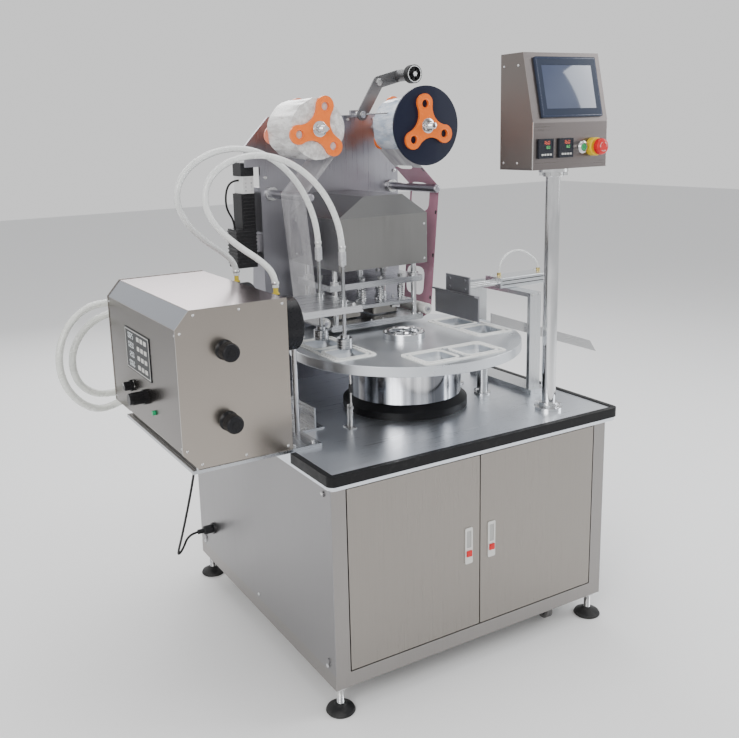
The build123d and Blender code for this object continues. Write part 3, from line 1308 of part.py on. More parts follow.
def measuring_wheel():
    """Rubber-tyred wheel with six holes in its web."""
    back = WHEEL_FRONT + WHEEL_WIDTH
    wheel = rod_y(WHEEL_R, ARM_WHEEL_X, WHEEL_FRONT, back, ARM_WHEEL_Z)
    wheel = chamfer(wheel.edges().filter_by(GeomType.CIRCLE), 1.2)
    wheel -= rod_y(WHEEL_R - 5, ARM_WHEEL_X, WHEEL_FRONT - 1, WHEEL_FRONT + 6, ARM_WHEEL_Z)
    wheel += rod_y(9, ARM_WHEEL_X, WHEEL_FRONT, WHEEL_FRONT + 7, ARM_WHEEL_Z)
    for index in range(6):
        angle = radians(60 * index)
        wheel -= rod_y(4, ARM_WHEEL_X + 15 * cos(angle), WHEEL_FRONT - 1, back + 1, ARM_WHEEL_Z + 15 * sin(angle))
    return wheel - rod_y(ARM_AXLE_R + RUNNING, ARM_WHEEL_X, WHEEL_FRONT - 1, back + 1, ARM_WHEEL_Z)


# Push-off station

def push_off_stand():
    """Foot beam on the table, front post, and a rear post that widens under the cylinder, joined by an arm."""
    left = STAND_X - STAND_WIDTH / 2
    right = STAND_X + STAND_WIDTH / 2
    low = TABLE_Z + BEAM_HEIGHT
    stand = block(STAND_X - BEAM_HALF, STAND_X + BEAM_HALF, STAND_FRONT - 22, BEAM_BACK, TABLE_Z, low)
    stand += block(left, right, STAND_FRONT, STAND_FRONT + STAND_THICK, low, STAND_TOP)
    head_left = right - REAR_POST_HEAD
    neck_z = STAND_TOP - REAR_POST_DEEP
    outline = [(left, low), (right, low), (right, STAND_TOP + 8), (head_left, STAND_TOP + 8),
               (head_left, neck_z), (left, neck_z)]
    rear = plate_xz(outline, REAR_POST_FRONT, REAR_POST_FRONT + STAND_THICK)
    neck = rear.edges().filter_by(Axis.Y).filter_by(
        lambda edge: abs(edge.center().X - left) < 1 and abs(edge.center().Z - neck_z) < 1)
    stand += fillet(neck, REAR_POST_FILLET)
    stand += block(left, right, STAND_FRONT, REAR_POST_FRONT, STAND_TOP - STAND_THICK, STAND_TOP)
    return stand


def push_off_cylinder():
    """Guided air cylinder: a flat body bored for the rod and two guides, with end fittings."""
    body = block(CYL_FRONT_X, CYL_BACK_X, CYL_Y - CYL_WIDE, CYL_Y + CYL_WIDE, STAND_TOP, STAND_TOP + 2 * CYL_HALF)
    body = fillet(body.edges().filter_by(Axis.X), 3)
    for offset in (-GUIDE_ROD_OFFSET, 0, GUIDE_ROD_OFFSET):
        body -= rod_x(GUIDE_ROD_R + RUNNING, CYL_FRONT_X - 1, CYL_BACK_X - 6, CYL_Y + offset, CYL_Z)
    for x in (CYL_FRONT_X + 22, CYL_BACK_X - 22):
        body += rod(6, x, CYL_Y, STAND_TOP + 2 * CYL_HALF, STAND_TOP + 2 * CYL_HALF + 10)
        body -= rod(AIR_R, x, CYL_Y, STAND_TOP + 2 * CYL_HALF + 4, STAND_TOP + 2 * CYL_HALF + 11)
    for z in (CYL_Z - 7, CYL_Z + 7):
        body += rod_x(5, CYL_BACK_X, CYL_BACK_X + 30, CYL_Y + 18, z)
    return body


def pusher():
    """Stepped angle plate on the cylinder's rods that sweeps the cups off the mould."""
    x0, x1 = PUSHER_X, PUSHER_X + PUSHER_SHEET
    blade = block(x0, x1, PUSHER_FRONT, PUSHER_BACK, PUSHER_LOW, PUSHER_FOLD)
    blade += block(x0, x1, PUSHER_NECK_FRONT, PUSHER_NECK_BACK, PUSHER_FOLD, PUSHER_TOP)
    blade += plate_xz([(x0 - 12, PUSHER_FOLD - 2), (x0, PUSHER_FOLD - 6), (x1, PUSHER_FOLD - 6), (x1, PUSHER_FOLD),
                       (x0 - 12, PUSHER_FOLD + 3)], PUSHER_FRONT, PUSHER_BACK)
    for y in (PUSHER_NECK_FRONT + 18, PUSHER_NECK_BACK - 18):
        for z in (PUSHER_TOP - 36, PUSHER_TOP - 12):
            blade += rod_x(5, x0 - 3, x0, y, z)
    for offset in (-GUIDE_ROD_OFFSET, 0, GUIDE_ROD_OFFSET):
        blade += rod_x(GUIDE_ROD_R, x1, CYL_FRONT_X + 60, CYL_Y + offset, CYL_Z)
    return blade


def chute():
    """Sloped slide from the turntable's edge with a side wall on the front and a low lip at the rear."""
    fall = tan(radians(CHUTE_SLOPE))

    def height(x):
        return CHUTE_LOW_AT_START - (x - CHUTE_START) * fall

    t = CHUTE_SHEET
    floor = plate_xz([(CHUTE_START, height(CHUTE_START)), (CHUTE_END, height(CHUTE_END)),
                      (CHUTE_END, height(CHUTE_END) + t), (CHUTE_START, height(CHUTE_START) + t)],
                     CHUTE_FRONT, CHUTE_BACK)
    wall = plate_xz([(WALL_START, height(WALL_START)), (CHUTE_END, height(CHUTE_END)),
                     (CHUTE_END - 26, height(CHUTE_END - 26) + CHUTE_WALL),
                     (WALL_START, height(WALL_START) + CHUTE_WALL)], CHUTE_FRONT, CHUTE_FRONT + t)
    lip = plate_xz([(CHUTE_START, height(CHUTE_START)), (CHUTE_END, height(CHUTE_END)),
                    (CHUTE_END, height(CHUTE_END) + CHUTE_LIP), (CHUTE_START, height(CHUTE_START) + CHUTE_LIP)],
                   CHUTE_BACK, CHUTE_BACK + t)
    return floor + wall + lip


# Cup lifter

LIFTER_YS = (TURN_Y - CAVITY_PITCH / 2, TURN_Y + CAVITY_PITCH / 2)
LIFTER_X = TURN_X + STATION_R
LIFTER_TOP = DISC_BOTTOM - LIFTER_DROP


def lifter_base():
    """Two small cylinders on the table under the push-off station."""
    base = []
    for y in LIFTER_YS:
        body = rod(LIFTER_BODY_R, LIFTER_X, y, TABLE_Z, TABLE_Z + LIFTER_BODY_HEIGHT)
        body -= rod(LIFTER_ROD_R + RUNNING, LIFTER_X, y, TABLE_Z + 6, TABLE_Z + LIFTER_BODY_HEIGHT + 1)
        base.append(body)
    return base


def cup_lifter():
    """Two lifting discs on rods, joined by a bar so that they rise together."""
    bar_z = TABLE_Z + LIFTER_BODY_HEIGHT + LIFTER_BAR_GAP
    lifter = block(LIFTER_X - 12, LIFTER_X + 12, LIFTER_YS[0], LIFTER_YS[1], bar_z, bar_z + LIFTER_BAR_THICK)
    for y in LIFTER_YS:
        lifter += rod(LIFTER_R, LIFTER_X, y, LIFTER_TOP - LIFTER_THICK, LIFTER_TOP)
        lifter += rod(LIFTER_ROD_R, LIFTER_X, y, TABLE_Z + LIFTER_BODY_HEIGHT - 50, LIFTER_TOP - LIFTER_THICK)
    return lifter


# Hoses and cords: straight runs joined by large arcs

def tube_along(points, radius, name):
    """A round tube along a route; every arc is as large as its two runs allow."""
    vectors = [Vector(*p) for p in points]
    radii = []
    for before, here, after in zip(vectors, vectors[1:], vectors[2:]):
        run = min((here - before).length, (after - here).length)
        turn = radians((here - before).get_angle(after - here))
        radii.append(0.45 * run / tan(turn / 2))
    path = FilletPolyline(*vectors, radius=radii)
    start = Plane(origin=path @ 0, z_dir=path % 0)
    tube = sweep(start * Circle(radius), path=path)
    print(name, "length", round(path.length, 1), "radii", [round(r) for r in radii],
          "volume ratio", round(tube.volume / (path.length * pi * radius ** 2), 4))
    return tube


MAINS_EXIT_X = -100
MAINS_EXIT_Y = 560
SOCKET_Y = BODY_DEPTH - 112
SOCKET_Z = 192


def dosing_hoses():
    """Clear hoses from the pump outlets up in an arch and down to the nozzles."""
    x = PUMP_RIGHT + BARB_X
    y0 = PUMP_CENTRES[0] + BARB_OFFSET
    y1 = PUMP_CENTRES[1] + BARB_OFFSET
    top = NOZZLE_TUBE_TOP + CONNECTOR_HEIGHT - 8
    front = [(x, y0, BARB_TOP), (x, y0, BARB_TOP + 30), (18, 340, 1050), (-32, 372, 1090), (-80, 398, 1142),
             (-98, 410, 1204), (-76, 408, 1262), (-18, 400, 1298), (52, 388, 1306), (118, 370, 1286),
             (174, 350, 1240), (212, 330, 1176), (NOZZLE_X, NOZZLE_YS[0], top + 42), (NOZZLE_X, NOZZLE_YS[0], top)]
    rear = [(x, y1, BARB_TOP), (x, y1, BARB_TOP + 30), (2, 545, 1052), (-58, 520, 1090), (-112, 498, 1140),
            (-142, 486, 1202), (-122, 480, 1264), (-62, 474, 1308), (14, 468, 1324), (90, 462, 1308),
            (154, 456, 1264), (202, 450, 1198), (NOZZLE_X, NOZZLE_YS[1], top + 52), (NOZZLE_X, NOZZLE_YS[1], top)]
    return tube_along(front, DOSING_R, "dosing_hose_front"), tube_along(rear, DOSING_R, "dosing_hose_rear")


SUCTION_X = (-205, -168)
SUCTION_HIGH = (905, 872)
SUCTION_LOW = (648, 676)


def suction_hoses():
    """Thick hoses that leave the rear cover, loop out to the left and come back below."""
    y = PUMP_BACK
    x0, x1 = SUCTION_X
    outer = [(x0, y, SUCTION_HIGH[0]), (x0, y + 34, SUCTION_HIGH[0]), (-246, 790, 912), (-306, 790, 906),
             (-360, 776, 872), (-394, 764, 818), (-404, 758, 758), (-392, 756, 698), (-356, 760, 646),
             (-304, 772, 614), (-246, 790, 618), (x0, y + 36, SUCTION_LOW[0]), (x0, y, SUCTION_LOW[0])]
    inner = [(x1, y, SUCTION_HIGH[1]), (x1, y + 44, SUCTION_HIGH[1]), (-200, 806, 878), (-256, 822, 872),
             (-312, 818, 842), (-350, 808, 794), (-360, 802, 738), (-344, 804, 686), (-302, 812, 650),
             (-246, 818, 642), (-196, 806, 658), (x1, y + 44, SUCTION_LOW[1]), (x1, y, SUCTION_LOW[1])]
    return tube_along(outer, SUCTION_R, "suction_hose_outer"), tube_along(inner, SUCTION_R, "suction_hose_inner")


def mains_cord():
    """Black lead of the pump unit, down from the shelf and back up to the socket on the cabinet."""
    route = [(MAINS_EXIT_X, MAINS_EXIT_Y, TABLE_Z), (MAINS_EXIT_X, MAINS_EXIT_Y, 548), (-101, 576, 486),
             (-103, 604, 420), (-105, 638, 350), (-107, 676, 278), (-109, 718, 202), (-110, 757, 140),
             (-107, 772, 118), (-94, 764, 136), (-82, SOCKET_Y, SOCKET_Z), (PLUG_BACK, SOCKET_Y, SOCKET_Z)]
    return tube_along(route, MAINS_R, "mains_cord")


PLUG_BACK = -52


def mains_plug():
    """Moulded plug pushed into the socket on the cabinet's left side."""
    plug = rod_x(13, -34, -6, SOCKET_Y, SOCKET_Z)
    plug = fillet(plug.edges().filter_by(GeomType.CIRCLE), 4)
    plug += rod_x(7, PLUG_BACK, -30, SOCKET_Y, SOCKET_Z)
    return plug


def socket_ring():
    """Round inlet on the cabinet's side that the plug sits in."""
    return rod_x(17, -6, 0, SOCKET_Y, SOCKET_Z)


def air_tubes():
    """Thin clear tube that arches between the cylinder's fittings."""
    z = STAND_TOP + 2 * CYL_HALF + 4
    x0 = CYL_FRONT_X + 22
    x1 = CYL_BACK_X - 22
    y = CYL_Y
    arch = [(x0, y, z), (x0, y, z + 24), (x0 + 16, y, z + 50), (x0 + 46, y, z + 66), (x0 + 84, y, z + 66),
            (x0 + 116, y, z + 50), (x1, y, z + 24), (x1, y, z)]
    return tube_along(arch, AIR_R, "air_tube")


def motor_cable():
    """Grey cable looped from the terminal box down to the motor."""
    x = FILM_MOTOR_X
    y = FILM_MOTOR_Y + 5
    loop = [(x - 24, y, 1222), (x - 44, y, 1222), (x - 62, y, 1204), (x - 69, y, 1172), (x - 66, y, 1138),
            (x - 45, y, 1104), (x - 45, y, 1080)]
    return tube_along(loop, MOTOR_CABLE_R, "motor_cable")


# All sub-parts

def main():
    rear_forks = [caster_fork(*CASTERS[name], False) for name in ("rear_left", "rear_right")]
    rails = caster_rail(CASTER_BACK, True) + caster_rail(BODY_DEPTH - CASTER_BACK, False)
    save("cabinet_frame", cabinet_frame() + rails, *rear_forks)
    save("cabinet_panels", side_panel(0), side_panel(BODY_WIDTH - PANEL), rear_panel(), socket_ring())
    save("left_door", door(True))
    save("right_door", door(False))
    save("left_lock_button", lock_button(True))
    save("right_lock_button", lock_button(False))
    save("levelling_feet", *[levelling_foot(x, y) for x, y in foot_places()])
    for name in ("front_left", "front_right"):
        save(f"caster_fork_{name}", caster_fork(*CASTERS[name], True))
    for name, place in CASTERS.items():
        save(f"caster_wheel_{name}", caster_wheel(*place))
    save("table_top", table_top())
    save("table_edging", rubber_edging())

    save("turntable_disc", turntable_disc(), *turntable_shaft())
    save("station_moulds", *[station_turn(i) * station_mould() for i in range(STATIONS)])
    gaskets = []
    for index in range(STATIONS):
        for piece in station_gasket():
            gaskets.append(station_turn(index) * piece)
    save("station_gaskets", *gaskets)
    save("turntable_drum", turntable_drum(), drum_base_ring())
    save("indexing_drive", indexer())
    save("electrical_plate", electrical_plate())

    save("display_column", display_column())
    save("display_housing", display_housing(), *control_sockets())
    save("display_panels", *display_panels())
    save("start_button", start_button())
    save("emergency_stop", emergency_stop())

    save("pump_shelf", pump_shelf())
    save("pump_box", *pump_box())
    save("pump_keypad", *pump_keypad())
    save("pump_heads", *pump_heads())
    save("pump_selector", side_knob(SELECTOR_Y, SELECTOR_LOW, 11, 24, 8))
    save("pump_speed_knob", side_knob(SPEED_KNOB_Y, SPEED_KNOB_LOW, 15, KNOB_REACH - SLIDE, 10))
    save("filling_nozzles", filling_nozzles(), *[nozzle(y) for y in NOZZLE_YS])

    save("head_plate", head_plate(), guide_bar(-1), guide_bar(1), roller_pin(-1), roller_pin(1))
    save("press_hood", press_hood())
    save("press_frame", film_guide(), press_bridge(), press_cylinder())
    save("press_plates", press_plates())
    save("film_drives", *film_drives())
    left = TURN_X - REEL_HALF
    right = TURN_X + REEL_HALF
    shaft_back = HEAD_FRONT + HEAD_THICK + 30
    nut_y = ROLL_FRONT - LOBE_THICK
    lobes = [lobe_nut(left, y, SUPPLY_LOBE_AT) for y in (nut_y, ROLL_BACK)]
    save("supply_spindle", reel_shaft(left, shaft_back, nut_y), *lobes)
    save("supply_roll", film_roll(left, SUPPLY_ROLL_R))
    nut_y -= WASTE_DISC_THICK
    lobes = [lobe_nut(right, y, WASTE_LOBE_AT) for y in (nut_y, ROLL_BACK)]
    disc = ring_y(WASTE_DISC_R, REEL_SHAFT_R, right, ROLL_FRONT - WASTE_DISC_THICK, ROLL_FRONT, REEL_Z)
    save("waste_spindle", reel_shaft(right, shaft_back, nut_y), disc, *lobes)
    save("waste_roll", film_roll(right, WASTE_ROLL_R))
    save("left_film_roller", film_roller(-1))
    save("right_film_roller", film_roller(1))
    save("film_web", film_web())
    save("measuring_arm", measuring_arm())
    save("measuring_wheel", measuring_wheel())

    save("push_off_stand", push_off_stand(), *lifter_base())
    save("push_off_cylinder", push_off_cylinder())
    save("pusher", pusher())
    save("chute", chute())
    save("cup_lifter", cup_lifter())

    front, rear = dosing_hoses()
    save("dosing_hose_front", front)
    save("dosing_hose_rear", rear)
    outer, inner = suction_hoses()
    save("suction_hose_outer", outer)
    save("suction_hose_inner", inner)
    save("mains_cord", mains_cord())
    save("mains_plug", mains_plug())
    save("air_tubes", air_tubes())
    save("motor_cable", motor_cable())


main()
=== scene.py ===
import math

import bmesh
import bpy
from mathutils import Matrix, Vector, noise


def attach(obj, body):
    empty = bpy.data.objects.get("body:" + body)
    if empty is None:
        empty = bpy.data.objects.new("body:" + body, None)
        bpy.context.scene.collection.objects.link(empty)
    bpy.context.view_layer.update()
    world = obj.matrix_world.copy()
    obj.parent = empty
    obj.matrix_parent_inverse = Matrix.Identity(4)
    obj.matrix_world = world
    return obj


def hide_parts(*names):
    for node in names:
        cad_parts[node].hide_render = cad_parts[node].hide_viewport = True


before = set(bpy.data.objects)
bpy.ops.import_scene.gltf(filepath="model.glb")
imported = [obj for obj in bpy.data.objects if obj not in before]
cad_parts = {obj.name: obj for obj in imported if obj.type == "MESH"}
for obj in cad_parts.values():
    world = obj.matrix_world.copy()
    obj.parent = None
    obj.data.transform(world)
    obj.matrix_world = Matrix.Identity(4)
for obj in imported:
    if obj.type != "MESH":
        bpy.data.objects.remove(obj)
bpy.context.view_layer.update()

# Camera, studio and floor.
# The object stands on a pale studio floor under large soft lamps. The camera is where the photograph was
# taken from: to the front left of the machine, at the height of its reels, tipped down by 12 degrees.

CENTRE_X = 379.5
CENTRE_Y = 435.0
PHOTO_WIDTH, PHOTO_HEIGHT = 739, 738
FOCAL_PIXELS = 883.1
PRINCIPAL_POINT = (334.5, 323.6)
EYE_X, EYE_Y, EYE_HEIGHT = -883.2, -1614.8, 1.3595
UP, DOWN, RIGHTWARD, LEFTWARD = (0, 0, 1), (0, 0, -1), (1, 0, 0), (-1, 0, 0)
FORWARD, BACKWARD = (0, -1, 0), (0, 1, 0)
SHARP_ANGLE = math.radians(35)
MERGE_DISTANCE = 0.00001


def place(x, y, z):
    """A point given in mm from the cabinet's left face, front face and the floor."""
    return Vector(((x - CENTRE_X) / 1000, (y - CENTRE_Y) / 1000, z / 1000))


camera_data = bpy.data.cameras.new("photo_camera")
camera_data.sensor_width = 36
camera_data.lens = FOCAL_PIXELS * camera_data.sensor_width / PHOTO_WIDTH
camera_data.shift_x = (PHOTO_WIDTH / 2 - PRINCIPAL_POINT[0]) / PHOTO_WIDTH
camera_data.shift_y = (PRINCIPAL_POINT[1] - PHOTO_HEIGHT / 2) / PHOTO_WIDTH
camera = bpy.data.objects.new("photo_camera", camera_data)
bpy.context.collection.objects.link(camera)
yaw, pitch, roll = math.radians(29.36), math.radians(12.39), math.radians(-1.78)
ahead = Vector((math.sin(yaw) * math.cos(pitch), math.cos(yaw) * math.cos(pitch), -math.sin(pitch)))
level = Vector((math.cos(yaw), -math.sin(yaw), 0))
upright = level.cross(ahead)
right = level * math.cos(roll) + upright * math.sin(roll)
above = upright * math.cos(roll) - level * math.sin(roll)
camera.matrix_world = Matrix((
    (right.x, above.x, -ahead.x, place(EYE_X, 0, 0).x),
    (right.y, above.y, -ahead.y, place(0, EYE_Y, 0).y),
    (right.z, above.z, -ahead.z, EYE_HEIGHT),
    (0, 0, 0, 1)))
bpy.context.scene.camera = camera

sky = bpy.data.worlds.new("studio")
bpy.context.scene.world = sky
sky.use_nodes = True
sky_nodes = sky.node_tree.nodes
sky_links = sky.node_tree.links
sky_back = sky_nodes["Background"]
sky_back.inputs["Strength"].default_value = 0.95
sky_coord = sky_nodes.new("ShaderNodeTexCoord")
sky_split = sky_nodes.new("ShaderNodeSeparateXYZ")
sky_ramp = sky_nodes.new("ShaderNodeValToRGB")
sky_links.new(sky_coord.outputs["Generated"], sky_split.inputs["Vector"])
sky_links.new(sky_split.outputs["Z"], sky_ramp.inputs["Fac"])
sky_links.new(sky_ramp.outputs["Color"], sky_back.inputs["Color"])
sky_ramp.color_ramp.elements[0].position = 0.45
sky_ramp.color_ramp.elements[0].color = (1.0, 1.0, 1.0, 1)
sky_ramp.color_ramp.elements[1].position = 0.95
sky_ramp.color_ramp.elements[1].color = (0.5, 0.51, 0.53, 1)


def soft_lamp(name, spot, aim, width, height, watts, warmth):
    """A large rectangular soft box aimed at a point."""
    data = bpy.data.lights.new(name, "AREA")
    data.shape = "RECTANGLE"
    data.size = width
    data.size_y = height
    data.energy = watts
    data.color = warmth
    lamp = bpy.data.objects.new(name, data)
    bpy.context.collection.objects.link(lamp)
    lamp.location = spot
    lamp.rotation_euler = (Vector(aim) - Vector(spot)).to_track_quat("-Z", "Y").to_euler()


soft_lamp("lamp_front_left", (-3.2, -2.6, 2.6), (0, 0, 0.8), 2.0, 2.4, 95, (1.0, 0.98, 0.95))
soft_lamp("lamp_right", (3.4, -1.6, 2.2), (0, 0, 0.8), 1.8, 2.4, 70, (0.95, 0.98, 1.0))
soft_lamp("lamp_top", (0.2, 0.4, 3.6), (0, 0, 0.5), 2.6, 2.6, 75, (1.0, 1.0, 1.0))
soft_lamp("lamp_rear", (0.6, 3.6, 2.4), (0, 0, 1.0), 3.0, 1.6, 60, (1.0, 1.0, 1.0))

floor_mesh = bmesh.new()
bmesh.ops.create_grid(floor_mesh, x_segments=2, y_segments=2, size=14)
floor_data = bpy.data.meshes.new("studio_floor")
floor_mesh.to_mesh(floor_data)
floor_mesh.free()
floor = bpy.data.objects.new("studio_floor", floor_data)
bpy.context.collection.objects.link(floor)
floor_look = bpy.data.materials.new("studio_floor")
floor_look.use_nodes = True
floor_look.node_tree.nodes["Principled BSDF"].inputs["Base Color"].default_value = (0.93, 0.93, 0.93, 1)
floor_look.node_tree.nodes["Principled BSDF"].inputs["Roughness"].default_value = 0.9
floor_data.materials.append(floor_look)

# Materials.
# Each is made of procedural grain, dust or scratches over a colour, some with painted reflections and
# shade over them, and patches give one part of a piece another finish.


class Finish:
    """A material in the making: its nodes, its links and its Principled shader."""

    def __init__(self, name, colour, roughness, metallic=0.0):
        self.material = bpy.data.materials.new(name)
        self.material.use_nodes = True
        self.nodes = self.material.node_tree.nodes
        self.links = self.material.node_tree.links
        self.shader = self.nodes["Principled BSDF"]
        self.shader.inputs["Base Color"].default_value = (*colour, 1)
        self.shader.inputs["Roughness"].default_value = roughness
        self.shader.inputs["Metallic"].default_value = metallic
        # Dark rubber and plastic shine less than the shader's default.
        if max(colour) < 0.05:
            self.shader.inputs["Specular IOR Level"].default_value = 0.2

    def node(self, kind, **values):
        """Adds a node and sets its values."""
        made = self.nodes.new(kind)
        for key, value in values.items():
            setattr(made, key, value)
        return made

    def join(self, source, target):
        """Links an output to an input."""
        self.links.new(source, target)

    def coordinates(self, scale=(1, 1, 1), shift=(0, 0, 0)):
        """Object coordinates through a Mapping node."""
        coord = self.node("ShaderNodeTexCoord")
        mapping = self.node("ShaderNodeMapping")
        mapping.inputs["Location"].default_value = shift
        mapping.inputs["Scale"].default_value = scale
        self.join(coord.outputs["Object"], mapping.inputs["Vector"])
        return mapping.outputs["Vector"]

    def noise(self, vector, scale, detail=3.0, rough=0.5):
        """A noise value over some coordinates."""
        made = self.node("ShaderNodeTexNoise")
        made.inputs["Scale"].default_value = scale
        made.inputs["Detail"].default_value = detail
        made.inputs["Roughness"].default_value = rough
        self.join(vector, made.inputs["Vector"])
        return made.outputs["Fac"]

    def spread(self, value, low, high, start=0.3, end=0.7):
        """Maps a noise value to a range."""
        made = self.node("ShaderNodeMapRange")
        made.inputs["From Min"].default_value = start
        made.inputs["From Max"].default_value = end
        made.inputs["To Min"].default_value = low
        made.inputs["To Max"].default_value = high
        self.join(value, made.inputs["Value"])
        return made.outputs["Result"]

    def between(self, value, first, second):
        """Mixes two colours by a value."""
        made = self.node("ShaderNodeMix", data_type="RGBA")
        made.inputs["A"].default_value = (*first, 1)
        made.inputs["B"].default_value = (*second, 1)
        self.join(value, made.inputs["Factor"])
        return made.outputs["Result"]

    def set(self, socket, value):
        """Sets a constant on the shader."""
        self.shader.inputs[socket].default_value = value

    def tint(self, value, first, second):
        """Colours the shader between two colours by a value."""
        self.join(self.between(value, first, second), self.shader.inputs["Base Color"])

    def shine(self, value, low, high, start=0.3, end=0.7):
        """Spreads the shader's roughness between two values."""
        self.join(self.spread(value, low, high, start, end), self.shader.inputs["Roughness"])

    def maths(self, operation, *sources):
        """Works out a value from sockets and constants."""
        return maths(self.material.node_tree, operation, *sources)

    def relief(self, height, strength, distance):
        """Turns a value into fine bumps."""
        made = self.node("ShaderNodeBump")
        made.inputs["Strength"].default_value = strength
        made.inputs["Distance"].default_value = distance
        self.join(height, made.inputs["Height"])
        self.join(made.outputs["Normal"], self.shader.inputs["Normal"])


# Hoses and cords.
# The product runs in soft milky PVC hose: two thick suction hoses loop out of the back of the pump box and
# two thinner dosing hoses arch over to the nozzles. Each is one length of extruded tube pushed on its barb.


def milky_tube(name, colour, cloud):
    """Translucent PVC: pale, glossy, slightly cloudy along its length."""
    look = Finish(name, colour, 0.22)
    blotch = look.noise(look.coordinates(), 35, 3)
    shade = tuple(channel * cloud for channel in colour)
    look.tint(look.spread(blotch, 0, 1), colour, shade)
    look.shine(blotch, 0.16, 0.34)
    look.set("Subsurface Weight", 0.35)
    look.set("Subsurface Radius", (0.01, 0.01, 0.01))
    look.set("Transmission Weight", 0.15)
    look.set("Coat Weight", 0.4)
    look.set("Coat Roughness", 0.1)
    return look


def hose(name, node, route, radius, look, body="machine"):
    """A flexible tube on a smooth line through its route points."""
    data = bpy.data.curves.new(name, "CURVE")
    data.dimensions = "3D"
    data.bevel_depth = radius / 1000
    data.bevel_resolution = 6
    data.use_fill_caps = True
    line = data.splines.new("NURBS")
    line.points.add(len(route) - 1)
    for point, spot in zip(line.points, route):
        point.co = (*place(*spot), 1)
    line.order_u = 3
    line.use_endpoint_u = True
    line.resolution_u = 12
    data.materials.append(look.material)
    tube = bpy.data.objects.new(name, data)
    bpy.context.collection.objects.link(tube)
    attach(tube, body)
    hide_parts(node)
    return tube


dosing_look = milky_tube("milky_hose", (0.86, 0.88, 0.87), 0.88)
barb_x, barb_top = 42, 985
nozzle_top, connector_height, push_on = 1030, 34, 8
hose_end = nozzle_top + connector_height - push_on
dosing_front = [(barb_x, 319, barb_top), (barb_x, 319, barb_top + 30), (18, 340, 1050), (-32, 372, 1090),
                (-80, 398, 1142), (-98, 410, 1204), (-76, 408, 1262), (-18, 400, 1298), (52, 388, 1306),
                (118, 370, 1286), (174, 350, 1240), (212, 330, 1176), (230, 313, hose_end + 42),
                (230, 313, hose_end)]
dosing_rear = [(barb_x, 559, barb_top), (barb_x, 559, barb_top + 30), (2, 545, 1052), (-58, 520, 1090),
               (-112, 498, 1140), (-142, 486, 1202), (-122, 480, 1264), (-62, 474, 1308), (14, 468, 1324),
               (90, 462, 1308), (154, 456, 1264), (202, 450, 1198), (230, 439, hose_end + 52),
               (230, 439, hose_end)]
front_hose = hose("dosing_hose_front_tube", "dosing_hose_front", dosing_front, 8, dosing_look)
rear_hose = hose("dosing_hose_rear_tube", "dosing_hose_rear", dosing_rear, 8, dosing_look)

suction_look = milky_tube("milky_suction_hose", (0.85, 0.87, 0.83), 0.86)
rear_face = 725
suction_outer = [(-205, rear_face, 905), (-205, rear_face + 34, 905), (-246, 790, 912), (-306, 790, 906),
                 (-360, 776, 872), (-394, 764, 818), (-404, 758, 758), (-392, 756, 698), (-356, 760, 646),
                 (-304, 772, 614), (-246, 790, 618), (-205, rear_face + 36, 648), (-205, rear_face, 648)]
suction_inner = [(-168, rear_face, 872), (-168, rear_face + 44, 872), (-200, 806, 878), (-256, 822, 872),
                 (-312, 818, 842), (-350, 808, 794), (-360, 802, 738), (-344, 804, 686), (-302, 812, 650),
                 (-246, 818, 642), (-196, 806, 658), (-168, rear_face + 44, 676), (-168, rear_face, 676)]
outer_hose = hose("suction_hose_outer_tube", "suction_hose_outer", suction_outer, 10, suction_look)
inner_hose = hose("suction_hose_inner_tube", "suction_hose_inner", suction_inner, 10, suction_look)

# Mains lead.
# A black PVC lead leaves the pump unit through the shelf, hangs down the cabinet's side, folds and comes
# back up to a moulded plug in the side socket.


def dull_rubber(name, colour, rough, grain):
    """Moulded black rubber or PVC with a fine skin and a little dust."""
    look = Finish(name, colour, rough)
    fine = look.noise(look.coordinates(), grain, 4)
    dust = look.noise(look.coordinates(), 9, 5, 0.6)
    pale = tuple(min(1, channel * 2.2 + 0.02) for channel in colour)
    look.tint(look.spread(dust, 0, 0.5, 0.45, 0.8), colour, pale)
    look.shine(fine, rough - 0.1, rough + 0.12)
    look.relief(fine, 0.12, 0.0003)
    return look


cord_look = dull_rubber("black_flex", (0.015, 0.015, 0.016), 0.42, 400)
mains_route = [(-100, 560, 603), (-100, 560, 548), (-101, 576, 486), (-103, 604, 420), (-105, 638, 350),
               (-107, 676, 278), (-109, 718, 202), (-110, 757, 140), (-107, 772, 118), (-94, 764, 136),
               (-82, 738, 192), (-52, 738, 192)]
mains = hose("mains_cord_flex", "mains_cord", mains_route, 3.5, cord_look)


def dress(look, *names):
    """Gives CAD nodes their finish."""
    for name in names:
        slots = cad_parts[name].data.materials
        for index in range(len(slots)):
            slots[index] = look.material


def maths(tree, operation, *sources, kind="ShaderNodeMath", output="Value"):
    """Adds a maths node to a tree; each source is a socket to join or a constant."""
    made = tree.nodes.new(kind)
    made.operation = operation
    for socket, source in zip(made.inputs, sources):
        if isinstance(source, (int, float)):
            socket.default_value = source
        else:
            tree.links.new(source, socket)
    return made.outputs[output]


def vector_maths(tree, operation, *sources, output="Vector"):
    """Adds a vector maths node to a tree."""
    return maths(tree, operation, *sources, kind="ShaderNodeVectorMath", output=output)


def new_group(name, inputs, outputs):
    """An empty node group with named sockets, and its input and output nodes."""
    group = bpy.data.node_groups.new(name, "ShaderNodeTree")
    for title, kind in inputs:
        group.interface.new_socket(name=title, in_out="INPUT", socket_type=kind)
    for title, kind in outputs:
        group.interface.new_socket(name=title, in_out="OUTPUT", socket_type=kind)
    return group, group.nodes.new("NodeGroupInput"), group.nodes.new("NodeGroupOutput")


